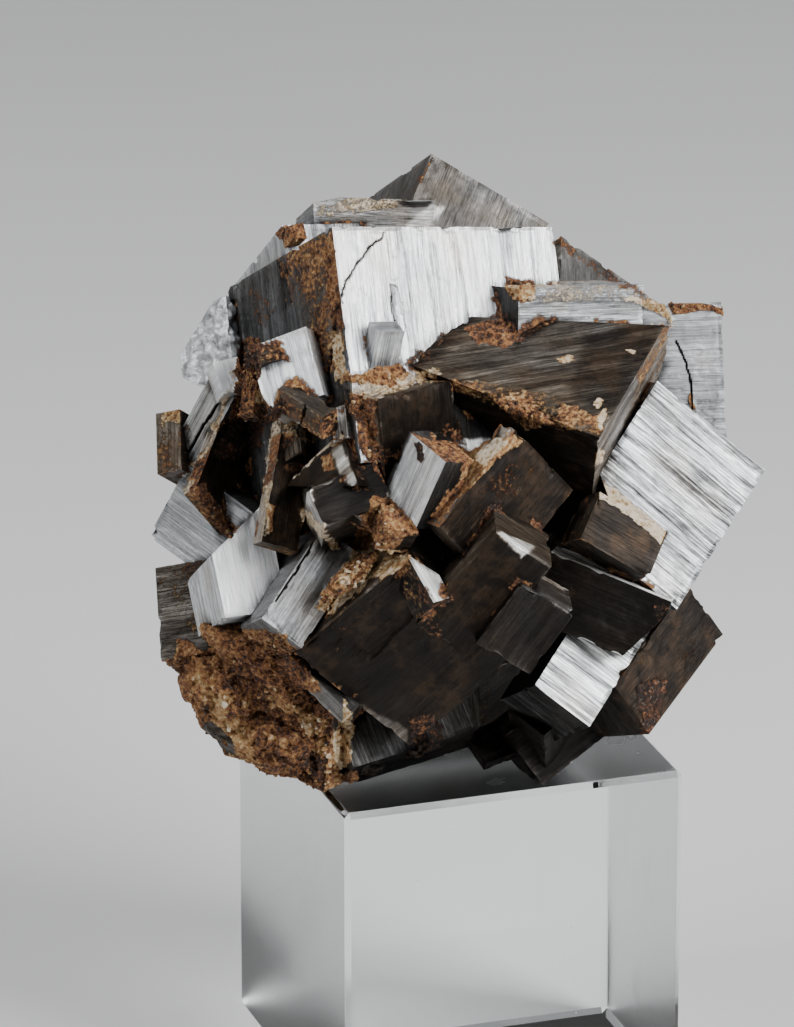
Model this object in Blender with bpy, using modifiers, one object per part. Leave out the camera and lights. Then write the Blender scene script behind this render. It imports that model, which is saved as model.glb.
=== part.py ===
"""Limonite pseudomorph: a ball of grown-together cubes that rests on a clear block.

The block stands square to X and Y with the middle of its underside at the origin. The
ball was measured along one line of sight, so its crystals are described in a view frame
(across, up, toward the eye) whose middle is the ball's centre, and turned into the world
frame at the end. Lengths are millimetres until MM turns them into metres.
"""

import math
from dataclasses import dataclass

import bmesh
import bpy
from mathutils import Matrix, Vector
from mathutils.noise import noise

MM = 0.001

# Clear block
BLOCK_EDGE = 25.4
BLOCK_CHAMFER = 0.4

# Ball of crystals
BALL_ABOVE_BLOCK = 20.0
BALL_LEFT_OF_BLOCK = 0.3
REST_GAP = 0.3
CRYSTAL_BEVEL = 0.18
SMALL_CRYSTAL_BEVEL = 0.08
SMALL_CRYSTAL_EDGE = 3.0
CRUST_ROUGHNESS = 0.35
CRUST_GRAIN = 1.7
LUMP_SUBDIVISIONS = 2
TERRACE_ROOT = 2.0

# Line of sight along which the crystals are described
SIGHT_AZIMUTH = math.radians(-18.5)
SIGHT_ELEVATION = math.radians(20.75)
EYE_DISTANCE = 570.0
SIGHT_AXIS = Vector((-4.1, -3.1))

REST_CUT_SIZE = 80.0


@dataclass(frozen=True)
class Trim:
    """A flat break: everything beyond the place, along the heading, is gone."""

    place: tuple[float, float]
    heading: float
    lean: float = 0.0


@dataclass(frozen=True)
class Crystal:
    """A cube or block, told by its corner nearest the eye and its three edges there.

    The headings are degrees in the view plane, counter-clockwise from across, and any
    two of them are over 90 degrees apart. A hidden crystal is told the same way by its
    corner farthest from the eye.
    """

    name: str
    corner: tuple[float, float, float]
    headings: tuple[float, float, float]
    edges: tuple[float, float, float]
    trims: tuple[Trim, ...] = ()
    hidden: bool = False


@dataclass(frozen=True)
class Terrace:
    """A growth step that stands proud of the face between two edges of a crystal."""

    crystal: str
    face: tuple[int, int]
    along_first: tuple[float, float]
    along_second: tuple[float, float]
    rise: float


@dataclass(frozen=True)
class Lump:
    """A rounded mass of iron crust with its three radii."""

    name: str
    centre: tuple[float, float, float]
    radii: tuple[float, float, float]
    turn: float = 0.0


CRYSTALS = (
    # Top
    Crystal("crown", (-5.1, 14.3, 1.5), (-30, -148, 68), (10.3, 10.3, 10.3)),
    Crystal("main", (-6.7, 0.5, 17.5), (1, 97, -153), (17.0, 17.0, 17.0)),
    Crystal("top_slab", (-9.8, 10.0, 7.0), (-1, 92, -150), (9.0, 9.7, 4.5)),
    Crystal("orange_tip", (-11.6, 16.4, 9.0), (10, 104, -140), (1.2, 1.2, 2.0)),
    Crystal("left_strip", (-11.7, 12.2, 8.0), (2, 97, -133), (6.0, 5.6, 14.5)),
    Crystal("step", (4.6, 13.0, 12.0), (3, 171, -91), (11.0, 5.0, 6.0)),
    Crystal("step_cube", (-4.1, 7.5, 16.0), (60, 158, -96), (2.2, 2.6, 2.6)),
    # Right
    Crystal("right_back", (7.5, 10.0, 5.0), (88, -33, -150), (8.8, 11.6, 8.0)),
    Crystal("pillar", (18.7, 1.4, 5.0), (91, -40, -178), (10.6, 2.3, 7.0)),
    Crystal(
        "table",
        (10.4, 2.3, 17.0),
        (60.5, 158.6, -96),
        (12.0, 14.5, 12.0),
        (Trim((6.1, 10.5), 87.5),),
    ),
    Crystal("striated", (8.1, -3.6, 13.0), (57, -39, 190), (12.4, 10.5, 9.0)),
    Crystal("brown_step", (13.1, -6.8, 12.8), (45, 162, -95), (3.0, 5.0, 3.0)),
    Crystal("black_slab", (15.6, -9.4, 13.5), (157.5, -112, 40), (9.2, 5.0, 5.0)),
    Crystal("rust_right", (11.4, -15.4, 10.0), (-54, 52, 185), (4.8, 10.4, 7.0)),
    Crystal("lower_white", (5.7, -15.4, 13.0), (-37, 57, 207), (5.0, 9.4, 7.0)),
    # Left
    Crystal(
        "silver_lump",
        (-15.7, 5.9, 4.0),
        (-25, 96, -158),
        (8.0, 7.4, 4.6),
        (Trim((-18.2, 10.4), 149, -15.0),),
    ),
    Crystal("bright_chip", (-16.5, 5.4, 7.0), (15, 110, -130), (2.0, 2.5, 2.0)),
    Crystal("white_left", (-9.3, 5.4, 15.0), (-25, 105, -160), (4.0, 5.2, 4.5)),
    Crystal("left_sliver", (-19.5, 0.0, 5.0), (92, -170, -30), (4.6, 2.0, 4.0)),
    Crystal("left_plate", (-14.4, -3.0, 6.0), (144, -119, 10), (6.2, 6.2, 8.0)),
    Crystal("dark_plate", (-18.6, -1.6, 8.0), (70, -50, 188), (12.0, 6.0, 1.0)),
    Crystal("white_low", (-16.4, -10.6, 12.5), (102, 8, 215), (7.8, 4.8, 6.0)),
    # Middle
    Crystal("blade", (-13.8, -5.1, 13.5), (80, -17, 200), (8.0, 3.0, 1.5)),
    Crystal("roof", (-10.9, 1.3, 15.0), (98, -31, -150), (6.3, 5.9, 1.6)),
    Crystal("triangle", (-7.0, -1.1, 17.5), (107, -135, -15), (5.1, 6.8, 3.0)),
    Crystal("pale_bit", (-7.5, 2.4, 19.0), (95, -20, -160), (2.7, 1.0, 3.0)),
    Crystal("dark_bit", (-7.2, 0.4, 19.0), (100, -10, -150), (2.0, 1.0, 3.0)),
    Crystal("dark_log", (-9.3, -4.1, 18.5), (22, 114, -100), (5.2, 3.1, 7.0)),
    Crystal("light_slab", (-13.8, -10.6, 15.5), (-37, 57, 205), (3.6, 8.2, 5.0)),
    Crystal("wedge", (-5.5, 5.1, 18.0), (14.6, 168, -84), (6.6, 3.5, 7.0)),
    Crystal("white_log", (-0.6, 0.6, 21.0), (140, -114, 4), (4.0, 5.6, 3.0)),
    Crystal("house", (-1.1, -4.1, 19.5), (52, -46, 160), (8.9, 7.0, 2.0)),
    # Bottom
    Crystal("lower_centre", (-3.2, -6.2, 18.0), (-140, -39, 92), (11.5, 11.5, 9.0)),
    Crystal("small_white", (-1.0, -9.6, 20.0), (105, 10, -140), (3.0, 1.2, 3.0)),
    Crystal("slab_mid", (3.0, -4.5, 20.5), (-131, -33, 95), (9.2, 5.0, 5.0)),
    Crystal("small_cube", (4.7, -8.1, 19.0), (-30, -126, 100), (4.6, 5.5, 4.0)),
    Crystal("foot", (3.6, -18.9, 5.8), (-54, 38, 160), (4.7, 7.0, 5.0)),
    Crystal("foot_left", (2.3, -21.0, 4.6), (125, 20, -110), (3.0, 4.0, 0.9)),
    Crystal("dark_wedge", (6.4, -19.0, 8.0), (143, 40, -85), (3.6, 4.0, 4.0)),
    Crystal("rust_big", (-8.4, -16.4, 9.4), (155, -98, 25), (11.0, 7.6, 9.0)),
    Crystal("rust_base", (-12.2, -15.7, 10.3), (168, -64, 50), (10.3, 9.2, 9.0)),
    Crystal("rust_left", (-16.7, -12.9, 7.0), (94, -40, -170), (7.0, 6.0, 4.6)),
    # Far side, never seen along the line of sight
    Crystal("heart", (1.0, 1.0, -20.0), (75, 200, -45), (14.5, 15.0, 14.0), (), True),
    Crystal("far_right", (11.0, 3.0, -16.0), (95, 215, -30), (9.5, 11.0, 9.0), (), True),
    Crystal("far_top", (3.0, 11.0, -15.0), (60, 175, -70), (9.0, 10.0, 11.0), (), True),
    Crystal("far_left", (-9.0, 7.0, -15.5), (110, 225, -10), (9.0, 10.0, 11.0), (), True),
    Crystal("far_side", (-11.0, -4.0, -14.0), (75, 190, -60), (9.5, 8.5, 9.0), (), True),
    Crystal("far_low", (-3.0, -9.0, -14.0), (100, 205, -35), (9.0, 8.0, 9.5), (), True),
    Crystal("far_foot", (8.0, -8.0, -13.5), (65, 185, -50), (9.0, 9.0, 8.0), (), True),
    Crystal("far_rest", (1.5, -13.6, -11.5), (95, 215, -25), (9.0, 8.0, 8.0), (), True),
)

TERRACES = (
    Terrace("main", (0, 1), (-0.01, 0.26), (0.36, 0.80), 0.35),
    Terrace("main", (0, 1), (0.55, 1.0), (0.30, 0.62), 0.25),
    Terrace("main", (1, 2), (0.30, 1.0), (0.0, 0.45), 0.3),
    Terrace("table", (0, 1), (0.0, 0.42), (0.1, 0.75), 0.3),
    Terrace("table", (1, 2), (0.0, 0.6), (0.0, 0.35), 0.3),
    Terrace("crown", (0, 2), (0.35, 1.0), (0.45, 1.0), 0.25),
    Terrace("striated", (0, 1), (0.42, 1.0), (0.0, 0.55), 0.3),
    Terrace("striated", (0, 1), (0.0, 0.42), (0.35, 1.0), 0.45),
    Terrace("lower_centre", (0, 1), (0.30, 0.85), (0.0, 0.60), 0.25),
    Terrace("slab_mid", (0, 1), (0.0, 0.55), (0.0, 1.0), 0.3),
    Terrace("white_low", (0, 1), (0.0, 0.5), (0.35, 1.0), 0.3),
    Terrace("rust_right", (0, 1), (0.0, 1.0), (0.0, 0.4), 0.35),
    Terrace("black_slab", (0, 1), (0.0, 0.45), (0.0, 1.0), 0.3),
    Terrace("heart", (0, 1), (0.1, 0.7), (0.2, 1.0), 0.5),
    Terrace("far_right", (0, 1), (0.0, 0.6), (0.3, 1.0), 0.4),
    Terrace("far_top", (1, 2), (0.2, 1.0), (0.0, 0.6), 0.4),
    Terrace("far_left", (0, 2), (0.1, 1.0), (0.3, 0.9), 0.4),
)

LUMPS = (
    Lump("rust_corner", (-16.4, -15.6, 4.6), (2.8, 3.4, 3.6), 30.0),
    Lump("rust_bottom", (-12.2, -19.6, 4.4), (3.8, 2.2, 3.2), -10.0),
    Lump("rust_shelf", (-13.6, -13.2, 8.6), (4.6, 1.7, 2.0), -25.0),
    Lump("rust_apron", (-5.9, -20.9, 5.6), (2.6, 1.7, 2.6), 15.0),
    Lump("rust_under", (-2.6, -19.9, 5.4), (2.6, 1.5, 2.6), 20.0),
    Lump("silver_knob", (-17.6, 8.3, 4.6), (2.2, 2.8, 1.5), -35.0),
    Lump("silver_heel", (-18.7, 5.9, 3.2), (1.5, 1.6, 1.6), 0.0),
    Lump("column", (-14.4, 6.4, 9.6), (1.0, 3.1, 2.2), 5.0),
    Lump("seam", (-7.5, -7.6, 15.3), (4.2, 1.1, 1.8), 40.0),
    Lump("sill", (5.2, 4.1, 15.9), (4.2, 0.8, 1.2), -22.0),
    Lump("pillar_cap", (16.9, 11.5, 3.2), (1.5, 0.5, 1.5), 0.0),
    Lump("nest", (-4.3, -4.2, 16.6), (1.9, 1.9, 2.0), 0.0),
    Lump("far_crust", (-6.0, -2.0, -15.6), (5.0, 4.2, 3.6), 20.0),
    Lump("far_knob", (4.5, 13.0, -12.0), (3.2, 2.6, 3.0), -30.0),
)

PITS = (
    Lump("triangle_pit", (-9.6, 0.6, 17.6), (1.5, 1.2, 1.6), 45.0),
    Lump("side_hole", (-17.7, -8.6, 7.6), (0.8, 1.4, 1.3), -15.0),
)


def clear_scene() -> None:
    """Empty the scene and drop the collections it held."""
    for thing in list(bpy.data.objects):
        bpy.data.objects.remove(thing)
    for group in list(bpy.data.collections):
        bpy.data.collections.remove(group)


def make_collection(name: str) -> bpy.types.Collection:
    """Make a collection under the scene's own."""
    group = bpy.data.collections.new(name)
    bpy.context.scene.collection.children.link(group)
    return group


def make_material(
    name: str, colour: tuple[float, float, float], roughness: float, metallic: float
) -> bpy.types.Material:
    """Make a plain surface of one colour."""
    material = bpy.data.materials.new(name)
    material.use_nodes = True
    surface = material.node_tree.nodes["Principled BSDF"]
    surface.inputs["Base Color"].default_value = (*colour, 1.0)
    surface.inputs["Roughness"].default_value = roughness
    surface.inputs["Metallic"].default_value = metallic
    return material


def make_object(
    name: str, mesh: bmesh.types.BMesh, group: bpy.types.Collection
) -> bpy.types.Object:
    """Turn an edited mesh into an object in the given collection."""
    data = bpy.data.meshes.new(name)
    mesh.to_mesh(data)
    mesh.free()
    thing = bpy.data.objects.new(name, data)
    group.objects.link(thing)
    return thing


def hide_tool(thing: bpy.types.Object) -> None:
    """Show an object as a wire guide that isn't part of the model."""
    thing.hide_render = True
    thing.display_type = "WIRE"


def view_to_world() -> Matrix:
    """Give the matrix that takes the view frame in millimetres to the world in metres."""
    right = Vector((math.cos(SIGHT_AZIMUTH), math.sin(SIGHT_AZIMUTH), 0.0))
    forward = Vector((math.sin(SIGHT_AZIMUTH), -math.cos(SIGHT_AZIMUTH), 0.0))
    level = Vector((0.0, 0.0, 1.0))
    up = level * math.cos(SIGHT_ELEVATION) - forward * math.sin(SIGHT_ELEVATION)
    toward = level * math.sin(SIGHT_ELEVATION) + forward * math.cos(SIGHT_ELEVATION)
    turn = Matrix((right, up, toward)).transposed().to_4x4()
    centre = level * (BLOCK_EDGE + BALL_ABOVE_BLOCK) - right * BALL_LEFT_OF_BLOCK
    return Matrix.Scale(MM, 4) @ Matrix.Translation(centre) @ turn


def in_depth(place: tuple[float, float, float]) -> Vector:
    """Pull a place toward the line of sight as far as its nearness enlarged it."""
    across = Vector(place[:2])
    spread = (across - SIGHT_AXIS) * (1.0 - place[2] / EYE_DISTANCE)
    return (SIGHT_AXIS + spread).to_3d() + Vector((0.0, 0.0, place[2]))


def edge_directions(headings: tuple[float, float, float], hidden: bool) -> list[Vector]:
    """Find the three square directions that are seen along three headings.

    Square edges have products of slopes equal to minus the cosines of the angles
    between their headings, which fixes all three slopes away from the view plane.
    """
    turns = [math.radians(heading) for heading in headings]
    first = -math.cos(turns[0] - turns[1])
    second = -math.cos(turns[1] - turns[2])
    third = -math.cos(turns[2] - turns[0])
    slopes = (
        math.sqrt(first * third / second),
        math.sqrt(first * second / third),
        math.sqrt(second * third / first),
    )
    sign = 1.0 if hidden else -1.0
    return [
        Vector((math.cos(turn), math.sin(turn), sign * slope)).normalized()
        for turn, slope in zip(turns, slopes)
    ]


def add_block(mesh: bmesh.types.BMesh, corner: Vector, spans: list[Vector]) -> list:
    """Add a block that reaches from its corner along three spans."""
    frame = Matrix(spans).transposed().to_4x4()
    frame.translation = corner + sum(spans, Vector()) / 2.0
    return bmesh.ops.create_cube(mesh, size=1.0, matrix=frame)["verts"]


def break_off(mesh: bmesh.types.BMesh, trim: Trim) -> None:
    """Cut a crystal flat along a break and close the cut."""
    heading = math.radians(trim.heading)
    lean = math.radians(trim.lean)
    outward = Vector(
        (
            math.cos(heading) * math.cos(lean),
            math.sin(heading) * math.cos(lean),
            math.sin(lean),
        )
    )
    everything = mesh.verts[:] + mesh.edges[:] + mesh.faces[:]
    bmesh.ops.bisect_plane(
        mesh,
        geom=everything,
        plane_co=Vector(trim.place).to_3d(),
        plane_no=outward,
        clear_outer=True,
    )
    rim = [edge for edge in mesh.edges if edge.is_boundary]
    bmesh.ops.contextual_create(mesh, geom=rim)


def make_crystal(crystal: Crystal) -> bmesh.types.BMesh:
    """Build a crystal with its narrow worn edges in the view frame."""
    mesh = bmesh.new()
    directions = edge_directions(crystal.headings, crystal.hidden)
    spans = [way * length for way, length in zip(directions, crystal.edges)]
    add_block(mesh, in_depth(crystal.corner), spans)
    for trim in crystal.trims:
        break_off(mesh, trim)
    bmesh.ops.recalc_face_normals(mesh, faces=mesh.faces[:])
    small = min(crystal.edges) < SMALL_CRYSTAL_EDGE
    bmesh.ops.bevel(
        mesh,
        geom=mesh.edges[:],
        offset=SMALL_CRYSTAL_BEVEL if small else CRYSTAL_BEVEL,
        segments=1,
        affect="EDGES",
    )
    return mesh


def make_terrace(terrace: Terrace, crystal: Crystal) -> bmesh.types.BMesh:
    """Build a growth step as a thin plate that is rooted in its crystal."""
    mesh = bmesh.new()
    directions = edge_directions(crystal.headings, crystal.hidden)
    first, second = terrace.face
    normal = 3 - first - second
    along = directions[first] * crystal.edges[first]
    beside = directions[second] * crystal.edges[second]
    inward = directions[normal]
    corner = (
        in_depth(crystal.corner)
        + along * terrace.along_first[0]
        + beside * terrace.along_second[0]
        - inward * terrace.rise
    )
    spans = [
        along * (terrace.along_first[1] - terrace.along_first[0]),
        beside * (terrace.along_second[1] - terrace.along_second[0]),
        inward * terrace.rise * (1.0 + TERRACE_ROOT),
    ]
    add_block(mesh, corner, spans)
    bmesh.ops.recalc_face_normals(mesh, faces=mesh.faces[:])
    return mesh


def make_lump(lump: Lump) -> bmesh.types.BMesh:
    """Build a knobbly rounded mass in the view frame."""
    mesh = bmesh.new()
    bmesh.ops.create_icosphere(mesh, subdivisions=LUMP_SUBDIVISIONS, radius=1.0)
    turn = Matrix.Rotation(math.radians(lump.turn), 3, "Z")
    centre = in_depth(lump.centre)
    for vert in mesh.verts:
        point = Vector(axis * radius for axis, radius in zip(vert.co, lump.radii))
        place = centre + turn @ point
        swell = 1.0 + CRUST_ROUGHNESS * noise(place / CRUST_GRAIN)
        vert.co = centre + turn @ (point * swell)
    bmesh.ops.recalc_face_normals(mesh, faces=mesh.faces[:])
    return mesh


def keep_outer_shell(mesh: bmesh.types.BMesh) -> None:
    """Fill the pockets sealed between crystals by dropping every shell but the largest."""
    unseen = set(mesh.verts)
    shells = []
    while unseen:
        edge_of_shell = [unseen.pop()]
        shell = set(edge_of_shell)
        while edge_of_shell:
            vert = edge_of_shell.pop()
            for edge in vert.link_edges:
                other = edge.other_vert(vert)
                if other in unseen:
                    unseen.discard(other)
                    shell.add(other)
                    edge_of_shell.append(other)
        shells.append(shell)
    largest = max(shells, key=len)
    inner = [vert for shell in shells if shell is not largest for vert in shell]
    bmesh.ops.delete(mesh, geom=inner, context="VERTS")


def boolean(
    thing: bpy.types.Object, group: bpy.types.Collection, operation: str
) -> None:
    """Join the object with, or cut it by, everything in a collection."""
    modifier = thing.modifiers.new(operation.title(), "BOOLEAN")
    modifier.operation = operation
    modifier.operand_type = "COLLECTION"
    modifier.collection = group
    modifier.solver = "EXACT"


def bake(thing: bpy.types.Object) -> bmesh.types.BMesh:
    """Give the object's shape with its modifiers carried out."""
    evaluated = thing.evaluated_get(bpy.context.evaluated_depsgraph_get())
    mesh = bmesh.new()
    mesh.from_mesh(evaluated.to_mesh())
    evaluated.to_mesh_clear()
    return mesh


def build_block(group: bpy.types.Collection) -> bpy.types.Object:
    """Build the clear block with its narrow polished chamfers."""
    mesh = bmesh.new()
    bmesh.ops.create_cube(mesh, size=BLOCK_EDGE * MM)
    block = make_object("acrylic_stand", mesh, group)
    block.location.z = BLOCK_EDGE * MM / 2.0
    chamfer = block.modifiers.new("Chamfer", "BEVEL")
    chamfer.width = BLOCK_CHAMFER * MM
    chamfer.segments = 1
    chamfer.limit_method = "ANGLE"
    block.data.materials.append(make_material("clear_acrylic", (0.9, 0.92, 0.93), 0.05, 0.0))
    return block


def build_ball(
    group: bpy.types.Collection, joined: bpy.types.Collection, cut: bpy.types.Collection
) -> bpy.types.Object:
    """Grow the crystals, steps and crust together into one solid above the block."""
    by_name = {crystal.name: crystal for crystal in CRYSTALS}
    pieces = [(f"crystal_{item.name}", make_crystal(item)) for item in CRYSTALS[1:]]
    pieces += [
        (f"terrace_{number}", make_terrace(item, by_name[item.crystal]))
        for number, item in enumerate(TERRACES)
    ]
    pieces += [(f"lump_{item.name}", make_lump(item)) for item in LUMPS]
    world = view_to_world()
    for name, mesh in pieces:
        mesh.transform(world)
        hide_tool(make_object(name, mesh, joined))
    for pit in PITS:
        mesh = make_lump(pit)
        mesh.transform(world)
        hide_tool(make_object(f"pit_{pit.name}", mesh, cut))
    floor = bmesh.new()
    top = BLOCK_EDGE + REST_GAP
    floor_centre = Vector((0.0, 0.0, top - REST_CUT_SIZE / 2.0)) * MM
    floor_place = Matrix.Translation(floor_centre)
    bmesh.ops.create_cube(floor, size=REST_CUT_SIZE * MM, matrix=floor_place)
    hide_tool(make_object("rest_cut", floor, cut))

    first = make_crystal(CRYSTALS[0])
    first.transform(world)
    seed = make_object("seed", first, group)
    boolean(seed, joined, "UNION")
    boolean(seed, cut, "DIFFERENCE")
    return seed


def main() -> None:
    """Build the block and the ball of crystals that rests on it."""
    clear_scene()
    parts = make_collection("limonite_pseudomorph")
    joined = make_collection("joined_crystals")
    cut = make_collection("cutters")
    build_block(parts)
    seed = build_ball(parts, joined, cut)
    mesh = bake(seed)
    keep_outer_shell(mesh)
    ball = make_object("pseudomorph", mesh, parts)
    ball.data.materials.append(make_material("limonite", (0.16, 0.13, 0.11), 0.45, 0.6))
    bpy.data.objects.remove(seed)


main()
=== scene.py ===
"""Fine surface and finishes of a limonite pseudomorph on its clear display block.

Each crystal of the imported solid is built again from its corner, edge headings and edge
lengths, some of them fitted closer to the photograph, now as striated, worn and broken
faces, and dressed with its crust.
"""

from __future__ import annotations

import logging
import math
from dataclasses import dataclass, field
from enum import Enum

import bmesh
import bpy
import numpy as np
from mathutils import Matrix, Vector


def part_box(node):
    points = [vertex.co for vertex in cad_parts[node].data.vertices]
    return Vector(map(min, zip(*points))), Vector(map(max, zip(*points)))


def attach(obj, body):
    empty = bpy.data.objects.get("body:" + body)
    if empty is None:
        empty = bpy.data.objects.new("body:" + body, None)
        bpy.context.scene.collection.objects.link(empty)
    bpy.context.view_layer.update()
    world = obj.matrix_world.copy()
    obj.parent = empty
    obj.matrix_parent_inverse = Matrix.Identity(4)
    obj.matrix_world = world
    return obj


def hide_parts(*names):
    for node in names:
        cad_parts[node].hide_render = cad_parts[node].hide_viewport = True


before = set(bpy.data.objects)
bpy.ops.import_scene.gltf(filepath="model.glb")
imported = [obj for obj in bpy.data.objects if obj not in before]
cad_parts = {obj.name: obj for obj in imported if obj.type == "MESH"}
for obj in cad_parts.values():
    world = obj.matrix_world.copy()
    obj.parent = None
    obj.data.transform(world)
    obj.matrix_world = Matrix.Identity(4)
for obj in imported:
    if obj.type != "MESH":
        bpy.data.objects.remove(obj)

MM = 0.001
LOG = logging.getLogger("limonite_pseudomorph")

Spot = tuple[float, float]
Place = tuple[float, float, float]
Line = tuple[Spot, ...]
Stops = tuple[tuple[float, Place], ...]

# The two edges that span each of a crystal's near faces
FACE_EDGES = ((0, 1), (1, 2), (0, 2))


class Tone(Enum):
    """How bright a crystal face is painted: partly its own colour, partly painted sheen and shade."""

    BLACK = 0.02
    DARK = 0.13
    SHADE = 0.30
    ASH = 0.38
    GREY = 0.46
    PALE = 0.63
    SILVER = 0.76
    WHITE = 0.88


@dataclass(frozen=True)
class Sight:
    """The line of sight along which the crystals are described, in millimetres."""

    azimuth: float = math.radians(-18.5)
    elevation: float = math.radians(20.75)
    eye_distance: float = 570.0
    axis: Spot = (-4.1, -3.1)
    ball_above_block: float = 20.0
    ball_left_of_block: float = 0.3
    mm_per_pixel: float = 0.0715
    centre_pixel: Spot = (455.0, 470.0)
    picture_height: float = 1027.0

    def basis(self) -> np.ndarray:
        """Give the world directions of across, up and toward the eye.

        Returns:
            Three rows: across, up and toward, each a unit vector in the world.
        """
        right = np.array((math.cos(self.azimuth), math.sin(self.azimuth), 0.0))
        forward = np.array((math.sin(self.azimuth), -math.cos(self.azimuth), 0.0))
        level = np.array((0.0, 0.0, 1.0))
        up = level * math.cos(self.elevation) - forward * math.sin(self.elevation)
        toward = level * math.sin(self.elevation) + forward * math.cos(self.elevation)
        return np.array((right, up, toward))

    def to_world(self, places: np.ndarray, block_top: float) -> np.ndarray:
        """Turn places in the view frame into world places.

        Args:
            places: Rows of across, up and toward in millimetres.
            block_top: Height of the clear block's top face in metres.

        Returns:
            Rows of X, Y and Z in metres.
        """
        basis = self.basis()
        centre = np.array((0.0, 0.0, block_top / MM + self.ball_above_block))
        centre = centre - basis[0] * self.ball_left_of_block
        return (places @ basis + centre) * MM

    def in_depth(self, place: Place) -> np.ndarray:
        """Pull a place toward the line of sight as far as nearness enlarged it.

        Args:
            place: Across, up and toward in millimetres.

        Returns:
            The corrected place.
        """
        axis = np.array(self.axis)
        across = axis + (np.array(place[:2]) - axis) * (1.0 - place[2] / self.eye_distance)
        return np.array((across[0], across[1], place[2]))

    def as_seen(self, places: np.ndarray) -> np.ndarray:
        """Give where places lie in the picture.

        Args:
            places: Rows of across, up and toward in millimetres.

        Returns:
            Rows of across and down in pixels.
        """
        axis = np.array(self.axis)
        scale = 1.0 / (1.0 - places[:, 2:3] / self.eye_distance)
        seen = (axis + (places[:, :2] - axis) * scale) / self.mm_per_pixel
        return np.array(self.centre_pixel) + seen * np.array((1.0, -1.0))


SIGHT = Sight()


@dataclass(frozen=True)
class Trim:
    """A flat break: everything beyond the place, along the heading, is gone."""

    place: Spot
    heading: float
    lean: float = 0.0

    def normal(self) -> np.ndarray:
        """Give the outward normal of the break.

        Returns:
            A unit vector in the view frame.
        """
        heading, lean = math.radians(self.heading), math.radians(self.lean)
        flat = math.cos(lean)
        return np.array((math.cos(heading) * flat, math.sin(heading) * flat, math.sin(lean)))

    def beyond(self, places: np.ndarray) -> np.ndarray:
        """Measure how far places lie beyond the break, negative on the side that is kept."""
        return (places - np.array((*self.place, 0.0))) @ self.normal()


@dataclass(frozen=True)
class Look:
    """Finish of a crystal's three near faces.

    Tones, crust and grain are told for the faces of its first and second, second and
    third, and first and third edge: how bright each is, partly its own colour and partly
    painted sheen and shade, how far crust covers it and which edge its striations follow.
    Warm is how brown the film on them is, flaky how deep their broken layers are, and
    streak how strong their streaks are. Turn is how far the striations of the first face
    turn from their edge, in degrees.
    """

    tones: tuple[Tone, Tone, Tone] = (Tone.GREY, Tone.SHADE, Tone.DARK)
    crust: tuple[float, float, float] = (0.1, 0.1, 0.1)
    grain: tuple[int, int, int] = (1, 2, 0)
    warm: float = 0.5
    crumpled: bool = False
    flaky: float = 0.12
    streak: float = 1.0
    turn: float = 0.0


@dataclass(frozen=True)
class Crystal:
    """A cube or block, told by its corner nearest the eye and its three edges there.

    The headings are degrees in the view plane, counter-clockwise from across. A hidden
    crystal is told the same way by its corner farthest from the eye.
    """

    name: str
    corner: Place
    headings: tuple[float, float, float]
    edges: tuple[float, float, float]
    look: Look = Look()
    trims: tuple[Trim, ...] = ()
    hidden: bool = False

    def directions(self) -> np.ndarray:
        """Find the three square directions that are seen along the headings.

        Returns:
            Three rows, one unit vector for each edge.
        """
        turns = [math.radians(heading) for heading in self.headings]
        first = -math.cos(turns[0] - turns[1])
        second = -math.cos(turns[1] - turns[2])
        third = -math.cos(turns[2] - turns[0])
        slopes = (
            math.sqrt(first * third / second),
            math.sqrt(first * second / third),
            math.sqrt(second * third / first),
        )
        sign = 1.0 if self.hidden else -1.0
        rows = np.array([(math.cos(t), math.sin(t), sign * s) for t, s in zip(turns, slopes)])
        return rows / np.linalg.norm(rows, axis=1, keepdims=True)

    def depth_inside(self, places: np.ndarray) -> np.ndarray:
        """Measure how deep places lie inside the crystal.

        Args:
            places: Rows of across, up and toward in millimetres.

        Returns:
            Distance to the nearest face, negative outside.
        """
        local = (places - SIGHT.in_depth(self.corner)) @ self.directions().T
        depth = np.minimum(local, np.array(self.edges) - local).min(axis=1)
        for trim in self.trims:
            depth = np.minimum(depth, -trim.beyond(places))
        return depth

    def trimmed(self, places: np.ndarray) -> np.ndarray:
        """Press places that lie beyond the breaks back onto them.

        Args:
            places: Rows of across, up and toward in millimetres.

        Returns:
            The corrected places.
        """
        for trim in self.trims:
            beyond = np.clip(trim.beyond(places), 0.0, None)
            places = places - beyond[:, None] * trim.normal()
        return places


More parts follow.
